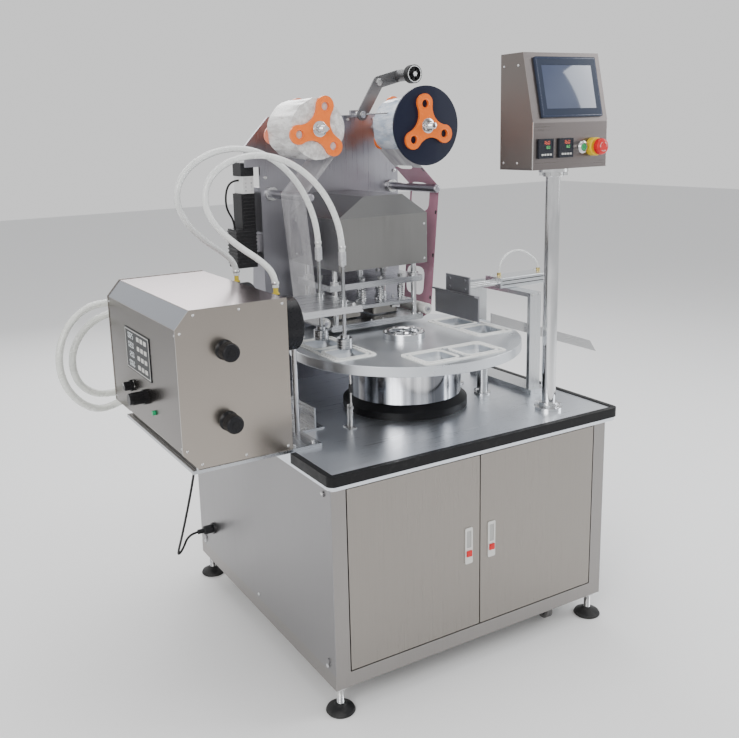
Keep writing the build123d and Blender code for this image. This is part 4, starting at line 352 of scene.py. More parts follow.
# Masks that pick one part of a node: inside a box, or within a distance of an axis.
box_group, box_in, box_out = new_group("within_box",
                                       [("Position", "NodeSocketVector"), ("Middle", "NodeSocketVector"),
                                        ("Half", "NodeSocketVector")], [("Inside", "NodeSocketFloat")])
offset = vector_maths(box_group, "SUBTRACT", box_in.outputs["Position"], box_in.outputs["Middle"])
distance = vector_maths(box_group, "ABSOLUTE", offset)
apart = box_group.nodes.new("ShaderNodeSeparateXYZ")
box_group.links.new(vector_maths(box_group, "SUBTRACT", distance, box_in.outputs["Half"]),
                    apart.inputs["Vector"])
wider = maths(box_group, "MAXIMUM", apart.outputs["X"], apart.outputs["Y"])
widest = maths(box_group, "MAXIMUM", wider, apart.outputs["Z"])
box_group.links.new(maths(box_group, "LESS_THAN", widest, 0), box_out.inputs["Inside"])

axis_group, axis_in, axis_out = new_group("near_axis",
                                          [("Position", "NodeSocketVector"), ("Middle", "NodeSocketVector"),
                                           ("Across", "NodeSocketVector"), ("Radius", "NodeSocketFloat")],
                                          [("Inside", "NodeSocketFloat")])
from_axis = vector_maths(axis_group, "SUBTRACT", axis_in.outputs["Position"], axis_in.outputs["Middle"])
flattened = vector_maths(axis_group, "MULTIPLY", from_axis, axis_in.outputs["Across"])
reach = vector_maths(axis_group, "LENGTH", flattened, output="Value")
closer = maths(axis_group, "LESS_THAN", reach, axis_in.outputs["Radius"])
axis_group.links.new(closer, axis_out.inputs["Inside"])


def in_box(look, low, high):
    """1 inside the box between two corners in mm, 0 outside it."""
    made = look.node("ShaderNodeGroup", node_tree=box_group)
    corner, opposite = place(*low), place(*high)
    look.join(look.coordinates(), made.inputs["Position"])
    made.inputs["Middle"].default_value = (corner + opposite) / 2
    made.inputs["Half"].default_value = (opposite - corner) / 2
    return made.outputs["Inside"]


def round_axis(look, spot, across, radius):
    """1 nearer to an axis than a radius in mm, 0 elsewhere; across has a 0 for the axis's own direction."""
    made = look.node("ShaderNodeGroup", node_tree=axis_group)
    look.join(look.coordinates(), made.inputs["Position"])
    made.inputs["Middle"].default_value = place(*spot)
    made.inputs["Across"].default_value = across
    made.inputs["Radius"].default_value = radius / 1000
    return made.outputs["Inside"]


ALONG_X, ALONG_Y, ALONG_Z = (0, 1, 1), (1, 0, 1), (1, 1, 0)


def both(look, first, second):
    """1 where two masks meet."""
    return look.maths("MULTIPLY", first, second)


def either(look, first, second):
    """1 where one of two masks is."""
    return look.maths("MAXIMUM", first, second)


def patch(look, mask, colour, roughness, metallic):
    """Gives the masked part of a piece another colour, roughness and metal value."""
    for title, value in (("Base Color", (*colour, 1)), ("Roughness", roughness), ("Metallic", metallic)):
        socket = look.shader.inputs[title]
        kind = "RGBA" if title == "Base Color" else "FLOAT"
        mix = look.node("ShaderNodeMix", data_type=kind)
        inputs = [item for item in mix.inputs if item.enabled]
        if socket.is_linked:
            look.join(socket.links[0].from_socket, inputs[1])
        else:
            inputs[1].default_value = socket.default_value
        inputs[2].default_value = value
        look.join(mask, inputs[0])
        look.join([item for item in mix.outputs if item.enabled][0], socket)


def patch_box(look, low, high, colour, roughness, metallic):
    """Patches the part of a piece inside a box between two corners in mm."""
    patch(look, in_box(look, low, high), colour, roughness, metallic)


def around(count, radius, start=0):
    """Offsets of points spread evenly round a circle, from a start in degrees."""
    for index in range(count):
        angle = math.radians(360 / count * index + start)
        yield radius * math.cos(angle), radius * math.sin(angle)


def grained(name, colour, roughness, grain, shine, shades=None, relief=None, metallic=0.0):
    """A finish under one noise: grain is its scale and detail, shine the range of roughness it spreads."""
    look = Finish(name, colour, roughness, metallic)
    speckle = look.noise(look.coordinates(), *grain)
    if shades:
        look.tint(look.spread(speckle, 0, 1), *shades)
    look.shine(speckle, *shine)
    if relief:
        look.relief(speckle, *relief)
    return look


plug_look = grained("moulded_plug", (0.02, 0.02, 0.022), 0.45, (350, 4), (0.36, 0.58), relief=(0.15, 0.0003))
dress(plug_look, "mains_plug")


def new_piece(name, mesh, look, body="machine"):
    """Makes an object from a finished bmesh, gives it its finish and lets it ride on a body."""
    bmesh.ops.remove_doubles(mesh, verts=mesh.verts, dist=MERGE_DISTANCE)
    bmesh.ops.recalc_face_normals(mesh, faces=mesh.faces)
    data = bpy.data.meshes.new(name)
    mesh.to_mesh(data)
    mesh.free()
    data.materials.append(look.material)
    for face in data.polygons:
        face.use_smooth = True
    data.set_sharp_from_angle(angle=SHARP_ANGLE)
    piece = bpy.data.objects.new(name, data)
    bpy.context.collection.objects.link(piece)
    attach(piece, body)
    return piece


def seat_at(spot, facing):
    """A placement at a point in mm, with its Z along a direction."""
    return Matrix.Translation(place(*spot)) @ Vector(facing).to_track_quat("Z", "Y").to_matrix().to_4x4()


def turn_profile(mesh, spot, facing, profile, steps=32):
    """Adds a turned solid: the profile's (height, radius) pairs in mm are spun about an axis from a spot."""
    seat = seat_at(spot, facing)
    verts = [mesh.verts.new(seat @ Vector((radius / 1000, 0, height / 1000))) for height, radius in profile]
    edges = [mesh.edges.new(pair) for pair in zip(verts, verts[1:])]
    bmesh.ops.spin(mesh, geom=verts + edges, cent=seat.translation,
                   axis=seat.to_3x3() @ Vector((0, 0, 1)), angle=math.tau, steps=steps, use_merge=True)
    bmesh.ops.remove_doubles(mesh, verts=mesh.verts, dist=MERGE_DISTANCE)


def ring_profile(inner, outer, height):
    """The profile of a collar or nut with a 1 mm chamfer on its top edge."""
    return [(0, inner), (0, outer), (height - 1, outer), (height, outer - 1), (height, inner), (0, inner)]


def cap_profile(radius, height):
    """The profile of a bolt head with a 1 mm chamfer on its top edge."""
    return [(0, 0), (0, radius), (height - 1, radius), (height, radius - 1), (height, 0)]


# Strain relief of the mains lead: a ribbed rubber cone below the shelf.
relief_mesh = bmesh.new()
relief_profile = [(0, 0), (0, 9), (3, 9), (3, 6.5)]
for rib in range(5):
    relief_profile += [(6 + rib * 6, 6.3 - rib * 0.45), (8 + rib * 6, 6.3 - rib * 0.45),
                       (8.5 + rib * 6, 5.2 - rib * 0.4)]
relief_profile += [(40, 3.9), (40, 0)]
turn_profile(relief_mesh, (-100, 560, 603), DOWN, relief_profile)
new_piece("mains_cord_strain_relief", relief_mesh, plug_look)

# Air tube of the push-off cylinder and cable of the film motor.
# A 6 mm clear polyurethane tube arches between two push-in fittings, and a black PVC cable makes one short
# loop from the terminal box down into the motor.

air_route = [(795, 376, 929), (795, 376, 953), (811, 376, 979), (841, 376, 995), (879, 376, 995),
             (911, 376, 979), (946, 376, 953), (946, 376, 929)]
air = hose("air_tube_line", "air_tubes", air_route, 3, dosing_look)
cable_route = [(170, 805, 1222), (150, 805, 1222), (132, 805, 1204), (125, 805, 1172), (128, 805, 1138),
               (149, 805, 1104), (149, 805, 1080)]
motor_cable = hose("motor_cable_line", "motor_cable", cable_route, 3, cord_look)

# Hose clips.
# Plated clips hold the hoses on their barbs.

zinc_look = grained("plated_steel", (0.62, 0.63, 0.64), 0.28, (60, 4), (0.2, 0.4),
                    shades=((0.58, 0.59, 0.61), (0.7, 0.7, 0.69)), metallic=1.0)


def plated(name, mesh, body="machine"):
    """Screws, rivets and fittings in plated steel."""
    return new_piece(name, mesh, zinc_look, body)


clip_mesh = bmesh.new()
clip_inset = 8
clips = [(route[end], UP, 8) for end in (0, -1) for route in (dosing_front, dosing_rear)]
clips += [(route[end], BACKWARD, 10) for route in (suction_outer, suction_inner) for end in (0, -1)]
for hose_tip, facing, tube_r in clips:
    spot = [at + clip_inset * way for at, way in zip(hose_tip, facing)]
    turn_profile(clip_mesh, spot, facing, [(0, tube_r - 0.5), (0, tube_r + 1.2), (0.8, tube_r + 1.5),
                                           (6, tube_r + 1.5), (6.8, tube_r + 1.2), (6.8, tube_r - 0.5),
                                           (0, tube_r - 0.5)], 28)
plated("hose_clips", clip_mesh)

# Cabinet.
# Welded frame of square tube, clad in satin-brushed stainless sheet with the grain upright. The doors are
# folded sheet, and everything is bolted or hung with a 3 mm gap.

grain_group, grain_in, grain_out = new_group(
    "sheet_grain", [("Position", "NodeSocketVector"), ("Stretch", "NodeSocketVector")],
    [("Tone", "NodeSocketFloat"), ("Smudge", "NodeSocketFloat")])
stretched = vector_maths(grain_group, "MULTIPLY", grain_in.outputs["Position"], grain_in.outputs["Stretch"])
for output_name, source, scale, rough in (("Tone", stretched, 1, 0.65),
                                          ("Smudge", grain_in.outputs["Position"], 4.5, 0.55)):
    grain_noise = grain_group.nodes.new("ShaderNodeTexNoise")
    grain_noise.inputs["Scale"].default_value = scale
    grain_noise.inputs["Detail"].default_value = 4
    grain_noise.inputs["Roughness"].default_value = rough
    grain_group.links.new(source, grain_noise.inputs["Vector"])
    grain_group.links.new(grain_noise.outputs["Fac"], grain_out.inputs[output_name])

UPRIGHT, SIDEWAYS, DEEPWARD = (420, 420, 5), (5, 420, 420), (420, 5, 420)


def brushed(name, colour, roughness, stretch_by, contrast):
    """Brushed metal: fine scratches one way, with faint hand marks over them."""
    look = Finish(name, colour, roughness, 1.0)
    grain = look.node("ShaderNodeGroup", node_tree=grain_group)
    look.join(look.coordinates(), grain.inputs["Position"])
    grain.inputs["Stretch"].default_value = stretch_by
    dark = tuple(channel * (1 - contrast) for channel in colour)
    light = tuple(min(1, channel * (1 + contrast)) for channel in colour)
    blend = look.maths("MULTIPLY_ADD", grain.outputs["Smudge"], 0.8,
                       look.spread(grain.outputs["Tone"], -0.25, 0.45))
    look.tint(blend, dark, light)
    look.shine(blend, roughness - 0.05, roughness + 0.1, 0.1, 0.9)
    look.relief(grain.outputs["Tone"], 0.08, 0.0002)
    return look


cabinet_look = brushed("cabinet_sheet", (0.3, 0.285, 0.275), 0.34, UPRIGHT, 0.06)
dress(cabinet_look, "cabinet_frame")
panel_look = brushed("side_sheet", (0.285, 0.28, 0.285), 0.32, UPRIGHT, 0.06)
patch_box(panel_look, (-20, 715, 165), (-0.2, 765, 220), (0.02, 0.02, 0.022), 0.4, 0.0)
# Painted shade: the thin black patch below the socket stands for the dark inside of a slot in the side sheet.
patch_box(panel_look, (-0.3, 722, 88), (0.4, 752, 94), (0.01, 0.01, 0.01), 0.6, 0.0)
dress(panel_look, "cabinet_panels")

door_look = brushed("door_sheet", (0.3, 0.278, 0.255), 0.3, UPRIGHT, 0.05)
lock_x = (389, 461)
for x in lock_x:
    plate_mask = in_box(door_look, (x - 13, -10, 285), (x + 13, -0.1, 387))
    patch(door_look, plate_mask, (0.62, 0.62, 0.6), 0.35, 0.2)
    recess_mask = in_box(door_look, (x - 7.2, -2, 330), (x + 7.2, 0, 377))
    patch(door_look, recess_mask, (0.4, 0.4, 0.39), 0.45, 0.3)
dress(door_look, "left_door", "right_door")

red_look = grained("red_button", (0.6, 0.006, 0.008), 0.3, (120, 3), (0.24, 0.38),
                   shades=((0.56, 0.006, 0.008), (0.66, 0.01, 0.012)))
red_look.set("Specular IOR Level", 0.3)
red_look.set("Coat Weight", 0.2)
dress(red_look, "left_lock_button", "right_lock_button", "emergency_stop")


def linked(verts, kind):
    """The faces or edges at some vertices, each once, in the order of the vertices."""
    return list(dict.fromkeys(item for vert in verts for item in getattr(vert, kind)))


def socket_screw(mesh, spot, facing, radius, height):
    """A cap screw with its hexagon socket sunk in the head."""
    seat = seat_at(spot, facing) @ Matrix.Translation((0, 0, height / 2000))
    made = bmesh.ops.create_cone(mesh, cap_ends=True, segments=18, radius1=radius / 1000,
                                 radius2=radius / 1000, depth=height / 1000, matrix=seat)
    out = seat.to_3x3() @ Vector((0, 0, 1))
    top = max(linked(made["verts"], "link_faces"), key=lambda face: face.calc_center_median().dot(out))
    bmesh.ops.inset_individual(mesh, faces=[top], thickness=radius * 0.12 / 1000, depth=radius * 0.08 / 1000)
    bmesh.ops.inset_individual(mesh, faces=[top], thickness=radius * 0.35 / 1000, depth=0)
    bmesh.ops.inset_individual(mesh, faces=[top], thickness=0.00002, depth=-height * 0.45 / 1000)


def dome_rivet(mesh, spot, facing, radius):
    """A low domed rivet head."""
    turn_profile(mesh, spot, facing, [(0, radius), (radius * 0.22, radius * 0.95),
                                      (radius * 0.42, radius * 0.7), (radius * 0.52, radius * 0.35),
                                      (radius * 0.55, 0)], 16)


cabinet_screws = bmesh.new()
for y in (34, 425, 812):
    for z in (121, 557):
        dome_rivet(cabinet_screws, (-3 if y != 425 else 0, y, z), LEFTWARD, 5)
        dome_rivet(cabinet_screws, (853 if y != 425 else 850, y, z), RIGHTWARD, 5)
for x in (30, 230, 430, 620, 820):
    for z in (120, 558):
        dome_rivet(cabinet_screws, (x, 850, z), BACKWARD, 5)
plated("cabinet_rivets", cabinet_screws)

# Door gap shade.
# Thin black strips, painted shade in the gaps: one on the outer edge of each door, one on the frame above
# them and one between them. They show as the dark line round each door.

# Painted shade: black strips set back in the door gaps stand for the shade there.
gap_shade_look = grained("door_gap_shade", (0.012, 0.012, 0.012), 0.7, (500, 3), (0.6, 0.85), relief=(0.2, 0.0003))


def soft_block(mesh, low, high, round_by=0.0, segments=2):
    """A block between two corners in mm, with its edges rounded."""
    corner, opposite = place(*low), place(*high)
    size = opposite - corner
    seat = Matrix.Translation((corner + opposite) / 2) @ Matrix.Diagonal((*size, 1))
    made = bmesh.ops.create_cube(mesh, size=1, matrix=seat)
    if round_by:
        bmesh.ops.bevel(mesh, geom=linked(made["verts"], "link_edges"), offset=round_by / 1000,
                        offset_type="OFFSET", segments=segments, profile=0.5, affect="EDGES", material=-1)


for side_name, x in (("door_left", 58), ("door_right", 772)):
    strip_mesh = bmesh.new()
    soft_block(strip_mesh, (x, 17, 120), (x + 20, 20, 540), 0.8)
    new_piece(f"{side_name}_gap_shade", strip_mesh, gap_shade_look, side_name)
gap_shade_mesh = bmesh.new()
soft_block(gap_shade_mesh, (80, 19, 548), (770, 23, 562), 0.8)
soft_block(gap_shade_mesh, (420, 16.2, 120), (430, 18.5, 545), 0.6)
new_piece("door_gap_shades", gap_shade_mesh, gap_shade_look)

# Levelling feet and casters.
# Each foot is a black rubber pad on a plated stem with its lock nut. The casters have pressed zinc forks and
# grey rubber wheels on black hubs, just clear of the floor.

foot_look = Finish("foot_rubber", (0.018, 0.018, 0.019), 0.5)
foot_dust = foot_look.noise(foot_look.coordinates(), 22, 5, 0.6)
foot_look.tint(foot_look.spread(foot_dust, 0, 0.6, 0.45, 0.8), (0.015, 0.015, 0.016), (0.09, 0.088, 0.085))
foot_look.shine(foot_dust, 0.35, 0.65)
foot_look.relief(foot_look.noise(foot_look.coordinates(), 300, 3), 0.12, 0.0004)
patch_box(foot_look, (-60, -60, 22.2), (910, 910, 120), (0.62, 0.62, 0.63), 0.24, 1.0)
dress(foot_look, "levelling_feet")
thread_mesh = bmesh.new()
for x in (22, 828):
    for y in (22, 828):
        thread = [(0, 8.0)]
        for turn in range(22):
            thread += [(turn * 1.75 + 0.5, 8.9), (turn * 1.75 + 1.4, 8.05)]
        turn_profile(thread_mesh, (x, y, 22), UP, thread, 20)
plated("foot_threads", thread_mesh)
dress(zinc_look, "caster_fork_front_left", "caster_fork_front_right")
wheel_look = grained("caster_tread", (0.11, 0.11, 0.11), 0.6, (90, 4), (0.5, 0.72),
                     shades=((0.06, 0.06, 0.06), (0.17, 0.165, 0.16)))
for x, y in ((140, 116), (710, 68), (140, 782), (710, 734)):
    patch(wheel_look, round_axis(wheel_look, (x, y, 29), ALONG_X, 15), (0.02, 0.02, 0.021), 0.4, 0.0)
dress(wheel_look, "caster_wheel_front_left", "caster_wheel_front_right", "caster_wheel_rear_left",
      "caster_wheel_rear_right")

# Table.
# A polished stainless plate with a ribbed underside. Black rubber edging is pushed over its rim, and stops
# where the pump shelf crosses it.

table_look = brushed("table_plate", (0.74, 0.77, 0.82), 0.3, SIDEWAYS, 0.05)
dress(table_look, "table_top")
edging_look = Finish("rubber_edging", (0.012, 0.012, 0.013), 0.42)
edging_wear = edging_look.noise(edging_look.coordinates(), 45, 5, 0.6)
edging_look.tint(edging_look.spread(edging_wear, 0, 0.5, 0.5, 0.8), (0.006, 0.006, 0.007), (0.03, 0.03, 0.03))
edging_look.shine(edging_wear, 0.3, 0.55)
edging_look.relief(edging_wear, 0.1, 0.0004)
dress(edging_look, "table_edging")

# Turntable.
# An anodised aluminium disc, turned and then deburred by hand, carries four mould plates with two cup
# openings each. White silicone frames and rings are bonded to the moulds.

turn_x, turn_y, disc_top = 457, 376, 790
disc_look = Finish("turned_aluminium", (0.66, 0.69, 0.73), 0.3, 1.0)
disc_rings = disc_look.node("ShaderNodeTexWave", wave_type="RINGS", rings_direction="Z")
disc_rings.inputs["Scale"].default_value = 260
disc_rings.inputs["Distortion"].default_value = 0.6
disc_rings.inputs["Detail"].default_value = 1
centred = disc_look.coordinates(shift=-place(turn_x, turn_y, 0))
disc_look.join(centred, disc_rings.inputs["Vector"])
disc_cloud = disc_look.noise(disc_look.coordinates(), 7, 4)
disc_look.tint(disc_look.spread(disc_cloud, 0, 1), (0.62, 0.655, 0.70), (0.74, 0.76, 0.785))
disc_look.shine(disc_cloud, 0.24, 0.4)
disc_look.relief(disc_rings.outputs["Fac"], 0.06, 0.0001)
patch_box(disc_look, (turn_x - 62, turn_y - 62, 790.4), (turn_x + 62, turn_y + 62, 812), (0.7, 0.71, 0.73),
          0.13, 1.0)
patch_box(disc_look, (turn_x - 80, turn_y - 80, 500), (turn_x + 80, turn_y + 80, 763.5), (0.5, 0.5, 0.5), 0.3,
          1.0)
dress(disc_look, "turntable_disc")
mould_look = brushed("mould_plate", (0.6, 0.63, 0.67), 0.3, (120, 120, 8), 0.06)
dress(mould_look, "station_moulds")
silicone_look = Finish("white_silicone", (0.82, 0.83, 0.81), 0.48)
silicone_dirt = silicone_look.noise(silicone_look.coordinates(), 55, 5, 0.6)
silicone_look.tint(silicone_look.spread(silicone_dirt, 0, 0.7, 0.45, 0.85), (0.86, 0.87, 0.85),
                   (0.62, 0.62, 0.58))
silicone_look.shine(silicone_dirt, 0.38, 0.6)
silicone_look.set("Subsurface Weight", 0.2)
silicone_look.set("Subsurface Radius", (0.004, 0.004, 0.004))
silicone_look.relief(silicone_dirt, 0.06, 0.0003)
dress(silicone_look, "station_gaskets")

station_screws = bmesh.new()
for index in range(4):
    turned = Matrix.Rotation(math.radians(90 * index), 3, "Z")
    for radial in (178, 276):
        spot = turned @ Vector((radial, 0, 0))
        socket_screw(station_screws, (turn_x + spot.x, turn_y + spot.y, disc_top - 0.5), UP, 3.2, 2.2)
for across, along in around(6, 50.5, 30):
    socket_screw(station_screws, (turn_x + across, turn_y + along, disc_top + 18), UP, 4, 3)
plated("turntable_screws", station_screws, "turntable")

# Drum under the turntable.
# A polished stainless drum, rolled from sheet, that stands on a black turned base ring. Its mirror finish
# shows upright streaks: painted reflections, dark and bright, in its colour.

drum_look = Finish("polished_drum", (0.6, 0.61, 0.63), 0.1, 1.0)
drum_look.set("Specular IOR Level", 0.15)
# Painted reflection: upright streaks from dark to bright stand for the surroundings mirrored in the drum, and
# also spread its gloss.
drum_reflection_streak = drum_look.noise(drum_look.coordinates(scale=(34, 34, 0.6)), 1, 3, 0.5)
drum_look.tint(drum_look.spread(drum_reflection_streak, 0, 1, 0.38, 0.62), (0.16, 0.165, 0.18), (0.86, 0.87, 0.9))
drum_look.shine(drum_reflection_streak, 0.08, 0.2)
patch_box(drum_look, (turn_x - 180, turn_y - 180, 600), (turn_x + 180, turn_y + 180, 640.8),
          (0.006, 0.006, 0.007), 0.38, 0.0)
dress(drum_look, "turntable_drum")

# Drive and electrics inside the cabinet.
# The indexing gearbox is painted cast iron with a finned motor. The mounting plate carries the controller,
# two frequency drives and rows of terminals.

paint_look = grained("machine_paint", (0.2, 0.23, 0.25), 0.45, (240, 3), (0.38, 0.55),
                     shades=((0.18, 0.21, 0.23), (0.235, 0.262, 0.28)), relief=(0.25, 0.0005))
dress(paint_look, "indexing_drive")
fin_mesh = bmesh.new()
motor_start, motor_z = turn_x - 325, 475
for fin in range(13):
    x = motor_start + 22 + fin * 12
    turn_profile(fin_mesh, (x, turn_y, motor_z), RIGHTWARD,
                 [(0, 54.5), (0, 59), (2.4, 59), (2.4, 54.5), (0, 54.5)], 40)
soft_block(fin_mesh, (motor_start + 60, turn_y - 34, motor_z + 50),
           (motor_start + 140, turn_y + 34, motor_z + 72), 4)
new_piece("drive_motor_fins", fin_mesh, paint_look)

board_look = brushed("mounting_plate", (0.52, 0.53, 0.54), 0.4, UPRIGHT, 0.06)
patch_box(board_look, (700, 140, 372), (803.8, 460, 480), (0.035, 0.036, 0.04), 0.5, 0.0)
patch_box(board_look, (700, 470, 362), (803.8, 700, 490), (0.22, 0.23, 0.24), 0.5, 0.0)
patch_box(board_look, (700, 140, 245), (803.8, 700, 300), (0.55, 0.55, 0.5), 0.5, 0.0)
patch_box(board_look, (700, 140, 175), (803.8, 700, 225), (0.12, 0.2, 0.14), 0.5, 0.0)
dress(board_look, "electrical_plate")
terminal_mesh = bmesh.new()
for index in range(36):
    y = 156 + index * 14.6
    soft_block(terminal_mesh, (757.5, y, 254), (760, y + 11, 291), 0.8, 1)
    soft_block(terminal_mesh, (772, y, 184), (775, y + 11, 216), 0.8, 1)
plated("terminal_rows", terminal_mesh)

# Display column.
# A chromed 38 mm tube with a screwed clamp ring at each end.

chrome_look = Finish("chrome_tube", (0.72, 0.73, 0.74), 0.09, 1.0)
# Painted reflection: upright streaks paint lighter and darker bands into the chrome's colour, and also vary
# its gloss.
chrome_reflection_streak = chrome_look.noise(chrome_look.coordinates(scale=(9, 9, 2.5)), 3, 3)
chrome_look.shine(chrome_reflection_streak, 0.05, 0.2)
chrome_look.tint(chrome_look.spread(chrome_reflection_streak, 0, 1), (0.6, 0.61, 0.62), (0.8, 0.8, 0.81))
dress(chrome_look, "display_column")
column_x, column_y = 739, 101
clamp_mesh = bmesh.new()
for z in (611, 1225):
    turn_profile(clamp_mesh, (column_x, column_y, z), UP,
                 [(0, 19.1), (0, 25), (1, 26), (11, 26), (12, 25), (12, 19.1), (0, 19.1)], 40)
    socket_screw(clamp_mesh, (column_x, column_y - 26, z + 6), FORWARD, 3.5, 3)
plated("column_clamps", clamp_mesh)

# Display housing.
# Folded stainless sheet with a sloped face and the grain across it. The button sockets are a chromed bezel
# and a yellow plastic collar.

housing_look = brushed("display_sheet", (0.175, 0.156, 0.152), 0.3, SIDEWAYS, 0.04)
patch_box(housing_look, (638, 73, 1250), (642.5, 191, 1535), (0.2, 0.18, 0.17), 0.34, 1.0)
edge_mask = either(housing_look, in_box(housing_look, (638, 66, 1240), (643, 73.2, 1362)),
                   in_box(housing_look, (892, 66, 1240), (897, 73.2, 1362)))
patch(housing_look, edge_mask, (0.6, 0.58, 0.56), 0.2, 1.0)
patch_box(housing_look, (780, 30, 1275), (817.5, 70.8, 1320), (0.75, 0.76, 0.77), 0.1, 1.0)
patch_box(housing_look, (818, 30, 1272), (868, 70.8, 1322), (0.72, 0.5, 0.015), 0.32, 0.0)
dress(housing_look, "display_housing")
housing_screws = bmesh.new()
for z in (1262, 1500):
    for y in (128, 180):
        dome_rivet(housing_screws, (641, y, z), LEFTWARD, 3.4)
        dome_rivet(housing_screws, (894, y, z), RIGHTWARD, 3.4)
for x in (655, 880):
    for z in (1258, 1518):
        dome_rivet(housing_screws, (x, 193, z), BACKWARD, 3.4)
plated("housing_rivets", housing_screws)

# Touch screen and temperature controllers.
# Dark plastic units: the screen has a glossy bezel round a grey-blue glass, and each controller has a row of
# red and green digits over four small keys.

unit_look = grained("dark_unit", (0.02, 0.022, 0.03), 0.3, (420, 3), (0.22, 0.4), relief=(0.06, 0.0002))
patch_box(unit_look, (660, 40, 1370), (880, 125, 1535), (0.025, 0.034, 0.06), 0.18, 0.0)
dress(unit_look, "display_panels")

slope_run, slope_rise = 40.5, 171
slope_long = math.hypot(slope_run, slope_rise)
slope_up = Vector((0, slope_run / slope_long, slope_rise / slope_long))
slope_out = Vector((0, -slope_rise / slope_long, slope_run / slope_long))


def on_slope(across, up, out):
    """A point on the housing's sloped face, in mm from its lower left corner."""
    spot = Vector((641 + across, 71, 1360)) + slope_up * up + slope_out * out
    return (spot.x, spot.y, spot.z)


def slope_plate(mesh, across, up, width, height, out, thick, round_by):
    """A thin plate on the sloped face."""
    lean = Matrix((Vector((1, 0, 0)), slope_up, slope_out)).transposed().to_4x4()
    seat = Matrix.Translation(place(*on_slope(across + width / 2, up + height / 2, out + thick / 2))) @ lean
    made = bmesh.ops.create_cube(mesh, size=1, matrix=seat
                                 @ Matrix.Diagonal((width / 1000, height / 1000, thick / 1000, 1)))
    bmesh.ops.bevel(mesh, geom=linked(made["verts"], "link_edges"), offset=round_by / 1000,
                    offset_type="OFFSET", segments=2, profile=0.5, affect="EDGES", material=-1)


screen_width, screen_height, screen_across = 204, 152, 29
screen_low = slope_long - 12 - screen_height
glass_look = grained("screen_glass", (0.05, 0.068, 0.13), 0.08, (6, 2), (0.05, 0.12),
                     shades=((0.035, 0.05, 0.105), (0.07, 0.09, 0.15)))
glass_look.set("Coat Weight", 0.6)
glass_mesh = bmesh.new()
slope_plate(glass_mesh, screen_across + 18.4, screen_low + 21.4, screen_width - 36.8, screen_height - 42.8,
            5.25, 0.5, 0.2)
new_piece("screen_glass_plate", glass_mesh, glass_look)

trim_look = grained("screen_trim", (0.03, 0.042, 0.09), 0.25, (500, 2), (0.18, 0.34))
trim_mesh = bmesh.new()
for across, up, width, height in ((3, 3, 198, 1.6), (3, 147.4, 198, 1.6), (3, 4.6, 1.6, 142.8),
                                  (199.4, 4.6, 1.6, 142.8)):
    slope_plate(trim_mesh, screen_across + across, screen_low + up, width, height, 5.7, 0.7, 0.3)
new_piece("screen_edge_trim", trim_mesh, trim_look)

SEGMENTS = {"0": "abcdef", "1": "bc", "2": "abged", "3": "abgcd", "4": "fgbc", "5": "afgcd", "6": "afgedc",
            "7": "abc", "8": "abcdefg", "9": "abcdfg"}


def lit_digits(mesh, text, seat, height):
    """Seven-segment digits in the XY plane of a seat, reading along its X."""
    width, stroke = height * 0.52, height * 0.13
    bars = {"a": (0, height / 2, 0), "g": (0, 0, 0), "d": (0, -height / 2, 0),
            "f": (-width / 2, height / 4, 1), "b": (width / 2, height / 4, 1),
            "e": (-width / 2, -height / 4, 1), "c": (width / 2, -height / 4, 1)}
    for index, mark in enumerate(text):
        middle = (index - (len(text) - 1) / 2) * height * 0.85
        for name in SEGMENTS[mark]:
            x, y, upright_bar = bars[name]
            long, wide = (stroke, height / 2 - stroke) if upright_bar else (width - stroke, stroke)
            shape = Matrix.Diagonal((long / 1000, wide / 1000, 0.0003, 1))
            bmesh.ops.create_cube(mesh, size=1, matrix=seat
                                  @ Matrix.Translation(((middle + x) / 1000, y / 1000, 0)) @ shape)


def lit(name, colour, strength):
    """A lamp or lit digit: coloured plastic that glows a little, unevenly."""
    look = Finish(name, colour, 0.35)
    glow = look.noise(look.coordinates(), 900, 2)
    shade = tuple(channel * 0.7 for channel in colour)
    mixed = look.between(look.spread(glow, 0, 1), colour, shade)
    look.join(mixed, look.shader.inputs["Base Color"])
    look.join(mixed, look.shader.inputs["Emission Color"])
    look.set("Emission Strength", strength)
    return look


READ_FROM_FRONT = Matrix(((1, 0, 0, 0), (0, 0, -1, 0), (0, 1, 0, 0), (0, 0, 0, 1)))
red_digits, green_digits, unit_keys = bmesh.new(), bmesh.new(), bmesh.new()
unit_front, key_step = 64, 9
for x in (681, 748):
    lit_digits(red_digits, "160", Matrix.Translation(place(x, unit_front + 0.8, 1312)) @ READ_FROM_FRONT, 9)
    lit_digits(green_digits, "160", Matrix.Translation(place(x + 4, unit_front + 0.8, 1300))
               @ READ_FROM_FRONT, 6)
    for key in range(4):
        soft_block(unit_keys, (x - 17 + key * key_step, unit_front - 0.7, 1280),
                   (x - 10.5 + key * key_step, unit_front + 0.4, 1284.5), 0.4, 2)
new_piece("controller_red_digits", red_digits, lit("red_digits", (0.8, 0.12, 0.06), 0.7))
new_piece("controller_green_digits", green_digits, lit("green_digits", (0.15, 0.7, 0.2), 0.6))
key_look = grained("light_print", (0.6, 0.6, 0.58), 0.5, (700, 3), (0.4, 0.6),
                   shades=((0.66, 0.66, 0.64), (0.5, 0.5, 0.48)))
new_piece("controller_keys", unit_keys, key_look)

# Start button and emergency stop.
# The green plunger has a dished face in its bezel. The stop's red mushroom head is ribbed round its edge and
# has three turning arrows moulded in it.

